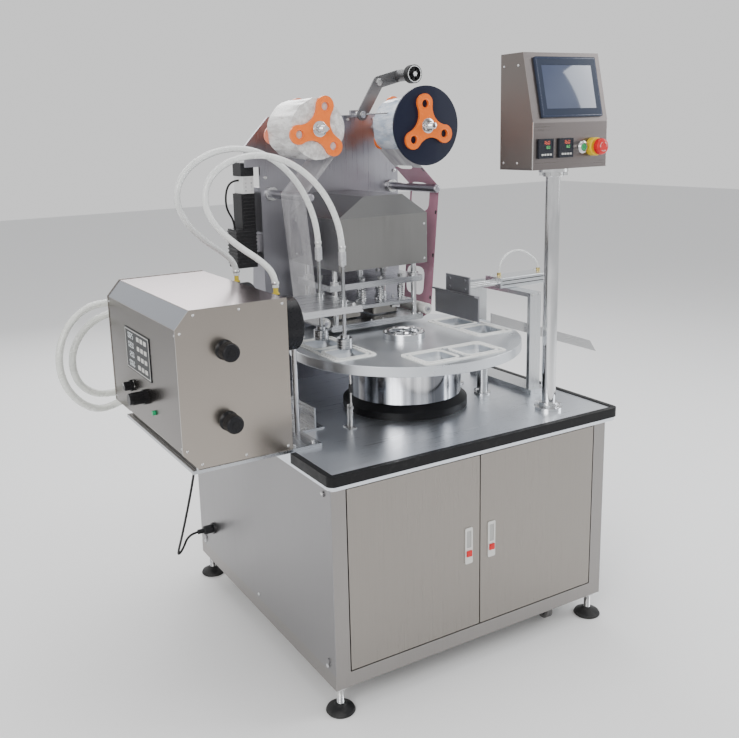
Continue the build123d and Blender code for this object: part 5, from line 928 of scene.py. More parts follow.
green_look = grained("green_button", (0.015, 0.32, 0.1), 0.28, (300, 3), (0.2, 0.36),
                     shades=((0.012, 0.27, 0.085), (0.03, 0.38, 0.13)))
dress(green_look, "start_button")
start_x, stop_x, button_z = 800, 842, 1297
ring_mesh = bmesh.new()
turn_profile(ring_mesh, (start_x, 59, button_z), FORWARD,
             [(0, 9.3), (0, 14), (1.6, 13.2), (2.6, 11.6), (2.6, 10), (1.4, 9.3), (0, 9.3)], 40)
new_piece("start_bezel_ring", ring_mesh, chrome_look)
stop_mesh = bmesh.new()
for across, up in around(24, 19.6):
    soft_block(stop_mesh, (stop_x + across - 0.9, 37.5, button_z + up - 0.9),
               (stop_x + across + 0.9, 45.5, button_z + up + 0.9), 0.4, 1)
new_piece("stop_grip_ribs", stop_mesh, red_look, "stop")
arrow_mesh = bmesh.new()
for index in range(3):
    for step in range(5):
        is_tail = step < 4
        angle = math.radians(120 * index + 14 * step)
        spot = place(stop_x + 11.5 * math.cos(angle), 30.9, button_z + 11.5 * math.sin(angle))
        bmesh.ops.create_cone(arrow_mesh, cap_ends=True, segments=4 if is_tail else 3,
                              radius1=0.0013 if is_tail else 0.0028, radius2=0.0012 if is_tail else 0.0026,
                              depth=0.0005, matrix=Matrix.Translation(spot)
                              @ Matrix.Rotation(-angle, 4, "Y") @ READ_FROM_FRONT)
new_piece("stop_turn_marks", arrow_mesh, key_look, "stop")

# Pump shelf.
# A stainless plate bolted to the table, with an angle bracket on its inner end.

shelf_look = brushed("shelf_plate", (0.47, 0.485, 0.51), 0.24, DEEPWARD, 0.07)
dress(shelf_look, "pump_shelf")
shelf_screws = bmesh.new()
for x, y in ((20, 210), (72, 210), (20, 682), (72, 682), (-230, 202), (110, 320), (110, 432)):
    z = 611 if x < 88 else 607
    socket_screw(shelf_screws, (x, y, z), UP, 5, 4)
plated("shelf_screws", shelf_screws)

# Pump box.
# Stainless sheet wrapped round in one piece, closed by two flat covers that stand a little proud. The covers
# are riveted at their corners.

pump_left, pump_right, pump_front, pump_back = -265, 8, 195, 725
pump_low, pump_high = 611, 981
box_look = brushed("pump_sheet", (0.335, 0.305, 0.275), 0.27, SIDEWAYS, 0.09)
# Painted reflection and shade on the one wrapped sheet: the top gets a brownish painted reflection, the slant
# a bluish one, and the left face a darker painted shade.
top_reflection_mask = in_box(box_look, (pump_left + 30, pump_front + 2.2, pump_high - 0.6),
                  (pump_right + 4, pump_back - 2.2, pump_high + 0.4))
patch(box_look, top_reflection_mask, (0.30, 0.235, 0.245), 0.2, 1.0)
slant_reflection_mask = in_box(box_look, (pump_left - 0.4, pump_front + 2.2, pump_high - 40.6),
                    (pump_left + 35, pump_back - 2.2, pump_high + 0.4))
patch(box_look, slant_reflection_mask, (0.36, 0.38, 0.42), 0.22, 1.0)
left_shade_mask = in_box(box_look, (pump_left - 0.4, pump_front + 2.2, pump_low + 42),
                   (pump_left + 0.5, pump_back - 2.2, pump_high - 41.5))
patch(box_look, left_shade_mask, (0.17, 0.155, 0.145), 0.26, 1.0)
rim_mask = in_box(box_look, (pump_left - 4, pump_front - 1, pump_low - 2),
                  (pump_right + 4, pump_front + 1.9, pump_high + 4))
face_mask = in_box(box_look, (pump_left - 4, pump_front - 1, pump_low - 2),
                   (pump_right + 4, pump_front + 0.1, pump_high + 4))
patch(box_look, rim_mask, (0.68, 0.67, 0.65), 0.2, 1.0)
patch(box_look, face_mask, (0.355, 0.32, 0.285), 0.27, 1.0)
dress(box_look, "pump_box")
box_rivets = bmesh.new()
for x, z in ((-222, 622), (-3, 622), (-222, 970), (-3, 970), (-256, 660), (-256, 932), (-112, 970),
             (-112, 622)):
    dome_rivet(box_rivets, (x, pump_front, z), FORWARD, 3.2)
    dome_rivet(box_rivets, (x, pump_back, z), BACKWARD, 3.2)
for y in (205, 716):
    for z in (665, 928):
        dome_rivet(box_rivets, (pump_left, y, z), LEFTWARD, 3)
plated("pump_box_rivets", box_rivets)

# Keypad and lamp of the pump unit.
# A black membrane in a thin light frame, with four lines of pale digits and keys, and a green lamp below.

keypad_look = grained("black_membrane", (0.012, 0.013, 0.016), 0.32, (500, 3), (0.26, 0.42),
                      relief=(0.1, 0.0002))
patch_box(keypad_look, (-280, 370, 695), (-264, 396, 715), (0.02, 0.34, 0.14), 0.25, 0.0)
dress(keypad_look, "pump_keypad")
keypad_front, keypad_back, keypad_low, keypad_high = 387, 580, 777, 886
frame_mesh = bmesh.new()
edge_x = -267
for y0, y1, z0, z1 in ((keypad_front + 3, keypad_back - 3, keypad_low + 3, keypad_low + 5),
                       (keypad_front + 3, keypad_back - 3, keypad_high - 5, keypad_high - 3),
                       (keypad_front + 3, keypad_front + 5, keypad_low + 5, keypad_high - 5),
                       (keypad_back - 5, keypad_back - 3, keypad_low + 5, keypad_high - 5)):
    soft_block(frame_mesh, (edge_x - 0.5, y0, z0), (edge_x + 0.2, y1, z1), 0.2, 1)
for row in range(4):
    z = keypad_high - 17 - row * 24
    for column in range(3):
        y = keypad_back - 96 - column * 28
        soft_block(frame_mesh, (edge_x - 0.6, y - 19, z - 7), (edge_x + 0.2, y, z + 4), 0.8, 2)
new_piece("keypad_frame_and_keys", frame_mesh, key_look)
READ_FROM_LEFT = Matrix(((0, 0, -1, 0), (-1, 0, 0, 0), (0, 1, 0, 0), (0, 0, 0, 1)))
count_mesh = bmesh.new()
for row, text in enumerate(("0825", "0350", "1200", "0060")):
    seat = Matrix.Translation(place(edge_x - 0.2, keypad_back - 46,
                                    keypad_high - 18.5 - row * 24)) @ READ_FROM_LEFT
    lit_digits(count_mesh, text, seat, 13)
new_piece("keypad_digits", count_mesh, lit("pale_digits", (0.75, 0.8, 0.82), 0.35))

# Knobs of the pump unit.
# The mode selector and the larger speed knob are ribbed black plastic on plated collars, with bright caps.

knob_look = grained("knob_plastic", (0.01, 0.01, 0.011), 0.3, (450, 3), (0.16, 0.32), relief=(0.12, 0.0002))
dress(knob_look, "pump_selector", "pump_speed_knob")


def ribbed_ring(mesh, spot, facing, inner, outer, low, high, ribs):
    """A ring of narrow grip ribs round a knob, all in one notched outline."""
    seat = seat_at(spot, facing)
    made = bmesh.ops.create_circle(mesh, cap_ends=True, segments=ribs * 4, radius=outer / 1000,
                                   matrix=seat @ Matrix.Translation((0, 0, low / 1000)))
    middle = seat @ Vector((0, 0, low / 1000))
    for index, vert in enumerate(made["verts"]):
        if index % 4 in (0, 1):
            vert.co = middle + (vert.co - middle) * (inner / outer)
    grown = bmesh.ops.extrude_face_region(mesh, geom=linked(made["verts"], "link_faces"))
    lifted = [item for item in grown["geom"] if isinstance(item, bmesh.types.BMVert)]
    bmesh.ops.translate(mesh, verts=lifted, vec=seat.to_3x3() @ Vector((0, 0, (high - low) / 1000)))


selector_ribs = bmesh.new()
ribbed_ring(selector_ribs, (pump_left, 553, 732), LEFTWARD, 10.2, 11.6, 9, 22, 18)
new_piece("selector_grip", selector_ribs, knob_look, "selector")
speed_ribs = bmesh.new()
ribbed_ring(speed_ribs, (pump_left, 440, 730), LEFTWARD, 14.2, 15.8, 11, 38, 26)
new_piece("speed_knob_grip", speed_ribs, knob_look, "speed_knob")
cap_mesh = bmesh.new()
turn_profile(cap_mesh, (pump_left - 44.6, 440, 730), LEFTWARD,
             [(-2, 0), (-2, 11), (0, 11), (0.9, 10), (0.9, 6), (0.4, 5.4), (0.4, 0)], 36)
new_piece("speed_knob_cap", cap_mesh, chrome_look, "speed_knob")
selector_cap = bmesh.new()
turn_profile(selector_cap, (pump_left - 23, 553, 732), LEFTWARD,
             [(-2, 0), (-2, 8), (0.6, 8), (1.3, 7), (1.3, 0)], 30)
soft_block(selector_cap, (pump_left - 26, 552, 734), (pump_left - 22, 554, 742), 0.5, 2)
new_piece("selector_cap", selector_cap, chrome_look, "selector")
collar_mesh = bmesh.new()
for y, z, radius in ((553, 732, 15.5), (440, 730, 18.5)):
    turn_profile(collar_mesh, (pump_left, y, z), LEFTWARD, ring_profile(radius - 4, radius, 2.5), 6)
plated("knob_collars", collar_mesh)

# Pump heads and front buffers.
# Each head is a black cast ring round a bright rotor cover held by six screws. The two buffers on the front
# cover are knurled black rubber.

head_look = grained("cast_black", (0.01, 0.01, 0.012), 0.3, (260, 4), (0.22, 0.4), relief=(0.3, 0.0004))
patch_box(head_look, (57.5, 150, 800), (70, 620, 1000), (0.6, 0.61, 0.63), 0.22, 1.0)
for y in (319, 559):
    barb_mask = both(head_look, round_axis(head_look, (barb_x, y, 0), ALONG_Z, 10.5),
                     in_box(head_look, (20, y - 12, 968), (60, y + 12, 990)))
    patch(head_look, barb_mask, (0.62, 0.48, 0.06), 0.35, 0.0)
dress(head_look, "pump_heads")
rotor_mesh = bmesh.new()
head_z = 905
# All screws come before the first bevelled block, so that their caps split into the same triangles each run.
for y in (267, 507):
    for along, up in around(6, 56, 30):
        socket_screw(rotor_mesh, (58, y + along, head_z + up), RIGHTWARD, 4, 4)
for y in (267, 507):
    for near, lift in around(6, 30, 30):
        soft_block(rotor_mesh, (63.5, y + near - 4, head_z + lift - 4),
                   (65.5, y + near + 4, head_z + lift + 4), 1.2, 2)
    turn_profile(rotor_mesh, (64, y, head_z), RIGHTWARD,
                 [(0, 0), (0, 16), (1.5, 16), (2.4, 14), (2.4, 7), (1.2, 6), (1.2, 0)], 36)
    turn_profile(rotor_mesh, (57.6, y, head_z), RIGHTWARD,
                 [(0, 49.4), (0, 52), (1.6, 51.6), (2, 50), (2, 49.4), (0, 49.4)], 60)
plated("rotor_covers", rotor_mesh)
buffer_mesh = bmesh.new()
for z in (714, 882):
    ribbed_ring(buffer_mesh, (-152, pump_front, z), FORWARD, 20, 21.8, 16, 38, 30)
    turn_profile(buffer_mesh, (-152, pump_front, z), FORWARD,
                 [(0, 14), (0, 23), (3, 23.5), (7, 19), (12, 16), (12, 14), (0, 14)], 40)
    ribbed_ring(buffer_mesh, (-152, pump_front - 43, z), FORWARD, 8.2, 9, 0, 2.2, 6)
new_piece("front_buffer_knurls", buffer_mesh, knob_look)

# Filling nozzles.
# The holder plate is anodised aluminium on a steel post. Each nozzle is a polished tube with a wide
# drip-free head, set by a collar on the plate.

nozzle_x, nozzle_y = 230, (313, 439)
nozzle_look = brushed("nozzle_plate", (0.6, 0.61, 0.63), 0.26, SIDEWAYS, 0.06)
patch_box(nozzle_look, (200, 285, 800), (262, 470, 904.5), (0.42, 0.43, 0.45), 0.16, 1.0)
patch_box(nozzle_look, (60, 290, 605), (95, 316, 904.5), (0.5, 0.5, 0.52), 0.14, 1.0)
patch_box(nozzle_look, (200, 285, 922.5), (262, 470, 1018), (0.38, 0.39, 0.4), 0.2, 1.0)
dress(nozzle_look, "filling_nozzles")
nozzle_mesh = bmesh.new()
for y in nozzle_y:
    turn_profile(nozzle_mesh, (nozzle_x, y, 905), DOWN, ring_profile(5.1, 10, 7), 6)
    for z in (812, 819, 826):
        turn_profile(nozzle_mesh, (nozzle_x, y, z), UP,
                     [(0, 19.6), (0.6, 20.9), (1.6, 20.9), (2.2, 19.6), (0, 19.6)], 40)
    socket_screw(nozzle_mesh, (nozzle_x + 9, y, 928), RIGHTWARD, 2.6, 3)
for x, y in ((86, 290), (86, 460), (246, 290), (246, 460)):
    socket_screw(nozzle_mesh, (x, y, 922), UP, 4.5, 4)
plated("nozzle_fittings", nozzle_mesh)

# Upright plate and hood of the sealing head.
# A 10 mm anodised plate with webs behind it, held by rows of screws. The hood is folded from dark-looking
# satin sheet and hides the press cylinder.

plate_look = brushed("head_plate_sheet", (0.36, 0.355, 0.39), 0.3, UPRIGHT, 0.06)
dress(plate_look, "head_plate")
hood_look = brushed("hood_sheet", (0.235, 0.232, 0.226), 0.34, UPRIGHT, 0.05)
patch_box(hood_look, (300, 469, 1119.5), (610, 760, 1180), (0.24, 0.24, 0.24), 0.24, 1.0)
patch_box(hood_look, (300, 469, 970), (610, 469.9, 977), (0.4, 0.4, 0.4), 0.24, 1.0)
patch_box(hood_look, (300, 472.2, 970), (309.6, 756, 1119), (0.27, 0.27, 0.28), 0.26, 1.0)
dress(hood_look, "press_hood")
plate_screws = bmesh.new()
for side in (-1, 1):
    for z in (640, 700, 1228, 1290):
        x = turn_x + side * (225 if z < 1250 else 270)
        socket_screw(plate_screws, (x, 755, z), FORWARD, 5, 4)
    for z in (640, 760, 880, 1000):
        socket_screw(plate_screws, (turn_x + side * 240, 812, z), (side, 0, 0), 5, 4)
    for x in (60, 150):
        socket_screw(plate_screws, (turn_x + side * x, 755, 1388), FORWARD, 4, 3.4)
    for z in (1000, 1100):
        dome_rivet(plate_screws, (turn_x + side * 148, 720, z), (side, 0, 0), 4)
        dome_rivet(plate_screws, (turn_x + side * 138, 470, z - 12), FORWARD, 3.4)
    turn_profile(plate_screws, (turn_x + side * 210, 738, 1181), BACKWARD,
                 [(0, 12.2), (0, 19), (1.5, 20), (17, 20), (17, 12.2), (0, 12.2)], 40)
    turn_profile(plate_screws, (turn_x + side * 175, 740, 1362), BACKWARD,
                 [(0, 8.3), (0, 20), (2, 22), (15, 22), (15, 8.3), (0, 8.3)], 40)
plated("head_plate_screws", plate_screws)

# Press.
# Ground aluminium plates slide on four chromed posts. Coil springs on shouldered bolts push the two heater
# heads down, and a heater lead terminal sits on each of them.

seal_y = 603
post_x = (turn_x - 134, turn_x + 134)
bolt_along = (-100, -30, 30, 100)
press_look = brushed("press_plate", (0.56, 0.57, 0.59), 0.24, SIDEWAYS, 0.07)
for x in post_x:
    for y in (seal_y - 83, seal_y + 83):
        patch(press_look, round_axis(press_look, (x, y, 0), ALONG_Z, 8.6), (0.7, 0.71, 0.72), 0.08, 1.0)
dress(press_look, "press_frame")
moving_look = brushed("moving_plate", (0.5, 0.51, 0.53), 0.26, SIDEWAYS, 0.08)
patch_box(moving_look, (330, 550, 815), (590, 660, 854.6), (0.4, 0.385, 0.355), 0.4, 1.0)
patch_box(moving_look, (330, 520, 865.5), (590, 690, 914.5), (0.66, 0.67, 0.68), 0.12, 1.0)
dress(moving_look, "press_plates")


def coil_spring(mesh, x, y, low, high, radius, wire, turns):
    """A helical spring, spun from a small circle of wire."""
    start = bmesh.ops.create_circle(mesh, cap_ends=True, segments=8, radius=wire / 1000,
                                    matrix=Matrix.Translation(place(x + radius, y, low))
                                    @ Matrix.Rotation(math.pi / 2, 4, "X"))
    ring = start["verts"]
    geometry = linked(ring, "link_faces") + ring + linked(ring, "link_edges")
    bmesh.ops.spin(mesh, geom=geometry, cent=place(x, y, low), axis=(0, 0, 1), angle=math.tau * turns,
                   steps=turns * 16, dvec=(0, 0, (high - low) / 1000 / (turns * 16)), use_merge=False)


spring_mesh = bmesh.new()
for side in (-1, 1):
    for along in bolt_along:
        coil_spring(spring_mesh, turn_x + along, seal_y + side * 62, 866.5, 913, 9.6, 1.1, 7)
plated("press_springs", spring_mesh, "press")
press_screws = bmesh.new()
for side in (-1, 1):
    for along in bolt_along:
        turn_profile(press_screws, (turn_x + along, seal_y + side * 62, 932), UP, cap_profile(8, 6), 6)
    for x in post_x:
        turn_profile(press_screws, (x, seal_y + side * 83, 932), UP, ring_profile(8.3, 14, 10), 32)
    for along in (-92, -34, 34, 92):
        socket_screw(press_screws, (turn_x + along, seal_y + side * 34, 865), UP, 4, 4)
    soft_block(press_screws, (turn_x + side * 63 - 14, 508, 846), (turn_x + side * 63 + 14, 520, 853), 1.5, 2)
plated("press_fasteners", press_screws, "press")
guide_screws = bmesh.new()
for side in (-1, 1):
    for x in (turn_x - 148, turn_x - 20, turn_x + 20, turn_x + 148):
        from_middle = 92 if abs(x - turn_x) > 100 else 90
        socket_screw(guide_screws, (x, seal_y + side * from_middle, 817), UP, 3.4, 3)
plated("guide_plate_screws", guide_screws)

# Film reels.
# Orange three-lobed clamp plates of glossy moulded plastic hold the rolls on chromed, threaded spindles. The
# take-up reel has a dark blue flange in front of its roll.

supply_x, waste_x, reel_z = 282, 632, 1362
lobe_look = grained("orange_plate", (0.78, 0.16, 0.02), 0.26, (130, 4), (0.2, 0.28),
                    shades=((0.84, 0.165, 0.018), (0.88, 0.19, 0.024)), relief=(0.05, 0.0003))
lobe_look.set("Specular IOR Level", 0.3)
lobe_look.set("Coat Weight", 0.15)
for x in (supply_x, waste_x):
    patch(lobe_look, round_axis(lobe_look, (x, 0, reel_z), ALONG_Y, 8.4), (0.72, 0.73, 0.74), 0.1, 1.0)
    nut_mask = both(lobe_look, round_axis(lobe_look, (x, 0, reel_z), ALONG_Y, 16),
                    in_box(lobe_look, (x - 20, 460, 1340), (x + 20, 503.9 if x == supply_x else 497.9, 1385)))
    patch(lobe_look, nut_mask, (0.7, 0.71, 0.72), 0.16, 1.0)
patch_box(lobe_look, (500, 505.5, 1240), (760, 512.4, 1480), (0.008, 0.011, 0.028), 0.3, 0.0)
patch_box(lobe_look, (160, 655, 1240), (400, 670, 1480), (0.8, 0.24, 0.14), 0.3, 0.0)
dress(lobe_look, "supply_spindle", "waste_spindle")


def threaded_end(mesh, x, front, length):
    """A threaded spindle end with a domed tip, towards the front."""
    profile = [(0, 0), (0, 8.1)]
    for turn in range(int(length / 2)):
        profile += [(turn * 2 + 0.6, 9.1), (turn * 2 + 1.6, 8.15)]
    profile += [(length, 6.5), (length + 1, 0)]
    turn_profile(mesh, (x, front, reel_z), FORWARD, profile, 24)


for side_name, x, plate_front, phase in (("supply_reel", supply_x, 504, 72),
                                         ("waste_reel", waste_x, 498, 98)):
    spindle_mesh = bmesh.new()
    threaded_end(spindle_mesh, x, plate_front - 14, 18)
    turn_profile(spindle_mesh, (x, plate_front, reel_z), FORWARD,
                 [(0, 9), (0, 21), (1.5, 21), (2, 20), (2, 9), (0, 9)], 40)
    for wing in (-1, 1):
        soft_block(spindle_mesh, (x + min(wing * 12, wing * 25), plate_front - 10, reel_z - 3.5),
                   (x + max(wing * 12, wing * 25), plate_front - 3, reel_z + 3.5), 2.4, 3)
    new_piece(f"{side_name}_lock_nut", spindle_mesh, chrome_look, side_name)
    eye_mesh = bmesh.new()
    for across, up in around(3, 62, phase):
        turn_profile(eye_mesh, (x + across, plate_front, reel_z + up), FORWARD,
                     [(0, 11.2), (0, 15), (0.8, 14.4), (1.2, 13), (1.2, 11.6), (0, 11.2)], 30)
    new_piece(f"{side_name}_lobe_eyes", eye_mesh, lobe_look, side_name)

# Rolls of film.
# The supply roll is clear film, loosely wound so that it crinkles. The take-up roll is the cut waste web,
# lumpy and milky. Both show their edges as fine rings.


def wound_roll(name, node, x, outer, crease, body, tint, dark_reflection_tint):
    """A wound roll: a spun ring whose outside is pulled in by uneven creases."""
    mesh = bmesh.new()
    inner, front, back = 34.5, 512.3, 659.7
    profile = [(0, inner), (0, outer)]
    for step in range(1, 13):
        profile.append(((back - front) * step / 13, outer))
    profile += [(back - front, outer), (back - front, inner), (0, inner)]
    turn_profile(mesh, (x, front, reel_z), BACKWARD, profile, 120)
    middle = place(x, 0, reel_z)
    for vert in mesh.verts:
        arm = Vector((vert.co.x - middle.x, 0, vert.co.z - middle.z))
        if arm.length > outer * 0.9 / 1000:
            wave = noise.noise(Vector((arm.x * 38, vert.co.y * 14, arm.z * 38)))
            fold = noise.noise(Vector((arm.x * 110, vert.co.y * 9, arm.z * 110)) + Vector((7, 3, 5)))
            pull = crease * (0.5 + 0.5 * wave) + crease * 0.35 * (0.5 + 0.5 * fold)
            vert.co -= arm.normalized() * min(pull, crease) / 1000
    look = Finish(name, tint, 0.22)
    coil = look.node("ShaderNodeTexWave", wave_type="RINGS", rings_direction="Y")
    coil.inputs["Scale"].default_value = 380
    coil.inputs["Distortion"].default_value = 1.5
    coil.inputs["Detail"].default_value = 2
    look.join(look.coordinates(shift=-place(x, 435, reel_z)), coil.inputs["Vector"])
    # Painted reflection: the colour runs from the tint to a darker reflection tint along streaks that lie
    # with the roll's axis.
    streaks = look.noise(look.coordinates(scale=(30, 8, 30)), 2, 5, 0.65)
    look.tint(look.spread(streaks, 0, 1, 0.38, 0.66), dark_reflection_tint, tint)
    look.shine(streaks, 0.14, 0.4)
    look.set("Coat Weight", 0.7)
    look.set("Coat Roughness", 0.12)
    look.relief(coil.outputs["Fac"], 0.25, 0.0006)
    roll = new_piece(name, mesh, look, body)
    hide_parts(node)


wound_roll("supply_film_roll", "supply_roll", supply_x, 84.6, 5.5, "supply_reel", (0.82, 0.82, 0.81),
           (0.5, 0.48, 0.47))
wound_roll("waste_film_roll", "waste_roll", waste_x, 89.6, 7.5, "waste_reel", (0.74, 0.78, 0.84),
           (0.42, 0.5, 0.62))

# Film web and guide rollers.
# The web is clear on its way down from the supply roll. On its way up it is the printed purple waste, with
# round-cornered openings where the lids were cut out. The rollers are white nylon on grey hubs.

web_look = Finish("film_web", (0.6, 0.62, 0.64), 0.1)
# Painted glints: light and dark streaks along the web paint its highlights into the colour; the same streaks
# also vary its gloss and crinkle it with bumps.
web_crinkle_and_glint = web_look.noise(web_look.coordinates(scale=(1, 9, 2.2)), 4, 5, 0.65)
web_look.tint(web_look.spread(web_crinkle_and_glint, 0, 1, 0.35, 0.7), (0.40, 0.39, 0.42), (0.8, 0.8, 0.82))
web_look.shine(web_crinkle_and_glint, 0.06, 0.25)
web_look.set("Coat Weight", 0.8)
web_look.set("Coat Roughness", 0.05)
web_look.relief(web_crinkle_and_glint, 0.35, 0.004)
patch_box(web_look, (turn_x + 165, 500, 780), (turn_x + 330, 670, 1460), (0.46, 0.2, 0.29), 0.2, 0.0)
lid_pitch = 127
for index in range(4):
    mark_z = 852 + lid_pitch * index
    patch_box(web_look, (turn_x + 165, 516, mark_z), (turn_x + 330, 524, mark_z + 10), (0.01, 0.01, 0.012),
              0.3, 0.0)
web_axes = web_look.node("ShaderNodeSeparateXYZ")
web_look.join(web_look.coordinates(shift=-place(0, seal_y, 900)), web_axes.inputs["Vector"])
along_web = web_look.maths("PINGPONG", web_axes.outputs["Z"], lid_pitch / 2000)


def fourth_power(look, value, size):
    """A value over a size, to the fourth power: two that sum to less than 1 fill a round-cornered square."""
    ratio = look.maths("DIVIDE", value, size / 1000)
    return look.maths("POWER", look.maths("ABSOLUTE", ratio), 4)


corner_sum = web_look.maths("ADD", fourth_power(web_look, along_web, 43),
                            fourth_power(web_look, web_axes.outputs["Y"], 46))
cut_out = both(web_look, web_look.maths("LESS_THAN", corner_sum, 1),
               in_box(web_look, (turn_x + 160, 500, 842), (turn_x + 330, 670, 1500)))
down_side = in_box(web_look, (100, 500, 780), (turn_x - 100, 670, 1500))
see_through = web_look.maths("MULTIPLY_ADD", down_side, -0.48, 0.8)
cut_alpha = web_look.node("ShaderNodeMath", operation="MULTIPLY_ADD", use_clamp=True)
cut_alpha.inputs[1].default_value = -0.74
web_look.join(cut_out, cut_alpha.inputs[0])
web_look.join(see_through, cut_alpha.inputs[2])
web_look.join(cut_alpha.outputs["Value"], web_look.shader.inputs["Alpha"])
dress(web_look, "film_web")

roller_look = Finish("nylon_roller", (0.7, 0.7, 0.68), 0.34)
roller_cloud = roller_look.noise(roller_look.coordinates(scale=(60, 4, 60)), 2, 4)
roller_look.tint(roller_look.spread(roller_cloud, 0, 1), (0.62, 0.62, 0.6), (0.78, 0.78, 0.76))
roller_look.shine(roller_cloud, 0.26, 0.44)
washer_mesh = bmesh.new()
roller_z = 827
for x in (turn_x - 175, turn_x + 175):
    hub_mask = both(roller_look, round_axis(roller_look, (x, 0, roller_z), ALONG_Y, 10),
                    in_box(roller_look, (x - 20, 500, 800), (x + 20, 507.5, 850)))
    patch(roller_look, hub_mask, (0.3, 0.3, 0.31), 0.4, 0.3)
    turn_profile(washer_mesh, (x, 505.7, roller_z), FORWARD,
                 [(0, 5.1), (0, 10), (1.6, 10), (2.2, 9), (2.2, 5.1), (0, 5.1)], 30)
dress(roller_look, "left_film_roller", "right_film_roller")
plated("roller_washers", washer_mesh)

# Film drives.
# The take-up gear motor and the supply brake are black behind the plate. The film motor beside it is black
# too, with a white terminal block and cooling fins.

drive_look = grained("black_casting", (0.022, 0.022, 0.024), 0.45, (230, 4), (0.36, 0.58),
                     shades=((0.016, 0.016, 0.018), (0.036, 0.036, 0.038)), relief=(0.25, 0.0004))
patch_box(drive_look, (165, 770, 1184), (206, 845, 1234), (0.72, 0.73, 0.73), 0.4, 0.0)
patch_box(drive_look, (206.5, 770, 1005), (230, 845, 1065), (0.5, 0.5, 0.51), 0.3, 1.0)
dress(drive_look, "film_drives")
fin_mesh = bmesh.new()
for index in range(9):
    soft_block(fin_mesh, (169, 774, 1088 + index * 10), (205, 846, 1092 + index * 10), 0.8, 1)
for index in range(10):
    soft_block(fin_mesh, (141, 774, 975 + index * 10.5), (208, 846, 979.5 + index * 10.5), 0.8, 1)
for index in range(6):
    turn_profile(fin_mesh, (waste_x, 775 + index * 11, reel_z), BACKWARD,
                 [(0, 33.5), (0, 36), (3, 36), (3, 33.5), (0, 33.5)], 40)
new_piece("drive_fins", fin_mesh, drive_look)
block_mesh = bmesh.new()
for index in range(4):
    socket_screw(block_mesh, (178, 775, 1193 + index * 11), FORWARD, 2.2, 1.4)
    socket_screw(block_mesh, (196, 775, 1193 + index * 11), FORWARD, 2.2, 1.4)
plated("terminal_screws", block_mesh)

# Measuring arm.
# Bent from grey-painted flat bar, with a polished pivot and lift pin. The wheel has a black rubber tyre on a
# black hub.

pivot_x, pivot_z, wheel_x, wheel_z = 545, 1401, 680, 1514
arm_look = brushed("arm_bar", (0.2, 0.2, 0.205), 0.42, (60, 400, 60), 0.06)
patch(arm_look, round_axis(arm_look, (pivot_x, 0, pivot_z), ALONG_Y, 9.6), (0.66, 0.66, 0.67), 0.12, 1.0)
dress(arm_look, "measuring_arm")
tyre_look = grained("tyre_rubber", (0.015, 0.015, 0.016), 0.5, (380, 4), (0.4, 0.62), relief=(0.25, 0.0003))
dress(tyre_look, "measuring_wheel")
arm_parts = bmesh.new()
for x, z in ((pivot_x, pivot_z), (605, 1495)):
    turn_profile(arm_parts, (x, 712, z), FORWARD, cap_profile(11, 5), 6)
plated("arm_bolts", arm_parts, "arm")
hub_parts = bmesh.new()
turn_profile(hub_parts, (wheel_x, 630, wheel_z), FORWARD,
             [(0, 0), (0, 7.5), (2.5, 7.5), (3.2, 6.5), (3.2, 0)], 6)
turn_profile(hub_parts, (wheel_x, 630.3, wheel_z), FORWARD,
             [(0, 21.5), (0.6, 22), (0.6, 24), (0, 24.8), (-0.6, 24), (-0.6, 22), (0, 21.5)], 48)
plated("wheel_hub_bolt", hub_parts, "arm_wheel")

# Push-off station.
# The portal is anodised aluminium bar, with the guided cylinder screwed on its arm. The pusher is a dark
# stepped plate with four screws.

portal_look = brushed("portal_bar", (0.6, 0.615, 0.63), 0.28, UPRIGHT, 0.05)
dress(portal_look, "push_off_stand")
cylinder_look = brushed("cylinder_body", (0.58, 0.6, 0.62), 0.26, (4, 300, 300), 0.06)
patch_box(cylinder_look, (768, 335, 925.3), (975, 417, 940), (0.62, 0.5, 0.2), 0.24, 1.0)
patch_box(cylinder_look, (968.2, 335, 890), (1000, 417, 925), (0.02, 0.02, 0.021), 0.4, 0.0)
dress(cylinder_look, "push_off_cylinder")
pusher_look = brushed("pusher_plate", (0.3, 0.3, 0.32), 0.36, UPRIGHT, 0.06)
patch_box(pusher_look, (635.2, 340, 898), (850, 412, 920), (0.68, 0.69, 0.7), 0.1, 1.0)
dress(pusher_look, "pusher")
portal_screws = bmesh.new()
for x in (803, 827):
    socket_screw(portal_screws, (x, 240, 887), FORWARD, 3.6, 3)
    socket_screw(portal_screws, (x, 492, 887), BACKWARD, 3.6, 3)
for x in (785, 956):
    for y in (350, 402):
        socket_screw(portal_screws, (x, y, 925), UP, 3, 2.6)
plated("portal_fasteners", portal_screws)
slot_mesh = bmesh.new()
for z in (903, 914):
    soft_block(slot_mesh, (780, 341.2, z), (960, 342.4, z + 2.4), 0.4, 1)
new_piece("cylinder_sensor_slots", slot_mesh, drive_look)
pusher_screws = bmesh.new()
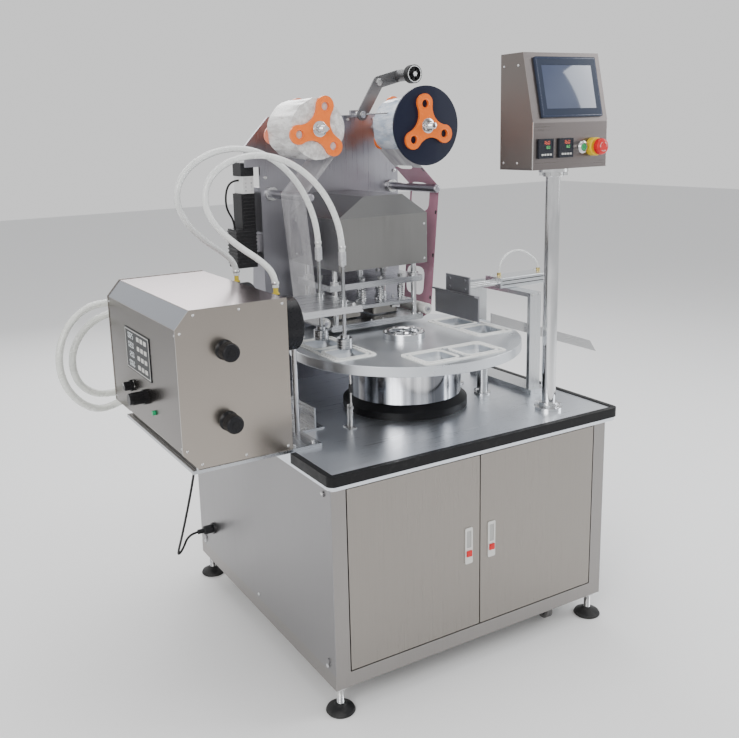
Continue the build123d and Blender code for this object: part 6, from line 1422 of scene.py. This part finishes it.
for y in (325, 395):
    for z in (911, 935):
        socket_screw(pusher_screws, (630, y, z), LEFTWARD, 4.6, 2.6)
for y in (353, 399):
    turn_profile(pusher_screws, (635, y, 909), RIGHTWARD, ring_profile(5.2, 9, 6), 6)
plated("pusher_screws", pusher_screws, "push_off")

# Chute.
# Bent from polished stainless sheet, in one darker grey all over.

chute_look = brushed("chute_sheet", (0.42, 0.42, 0.425), 0.22, SIDEWAYS, 0.1)
dress(chute_look, "chute")

# Cup lifter.
# Aluminium discs with black rubber faces on plated rods, driven by two short air cylinders on the table.

lifter_look = brushed("lifter_disc", (0.58, 0.59, 0.6), 0.24, (200, 200, 200), 0.06)
patch_box(lifter_look, (640, 280, 753.5), (730, 480, 756), (0.02, 0.02, 0.02), 0.55, 0.0)
dress(lifter_look, "cup_lifter")
lifter_parts = bmesh.new()
for y in nozzle_y:
    turn_profile(lifter_parts, (684, y, 603), UP, ring_profile(16, 24, 6), 40)
    for z in (618, 682):
        turn_profile(lifter_parts, (668, y, z), LEFTWARD, [(-2, 0), (-2, 4.6), (9, 4.6), (10, 3.6), (10, 0)],
                     20)
plated("lifter_fittings", lifter_parts)

# Position sensor beside the drum.
# A bent stainless strip on the table holds a thin rod with the sensor that finds the disc's rest.

bracket_look = brushed("sensor_bracket", (0.5, 0.5, 0.5), 0.26, UPRIGHT, 0.08)
rod_x, rod_y = 214, 262
bracket_mesh = bmesh.new()
soft_block(bracket_mesh, (204, 252, 603), (224, 290, 606), 0.6)
soft_block(bracket_mesh, (206, 268, 606), (222, 270, 668), 0.6)
turn_profile(bracket_mesh, (rod_x, rod_y, 606), UP, [(0, 0), (0, 2.6), (146, 2.6), (147, 2), (147, 0)], 20)
turn_profile(bracket_mesh, (rod_x, rod_y, 656), UP, ring_profile(2.6, 7, 7), 6)
new_piece("sensor_bracket", bracket_mesh, bracket_look)
sensor_mesh = bmesh.new()
turn_profile(sensor_mesh, (rod_x, rod_y, 700), UP, ring_profile(2.7, 5, 23), 28)
new_piece("position_sensor", sensor_mesh, drive_look)
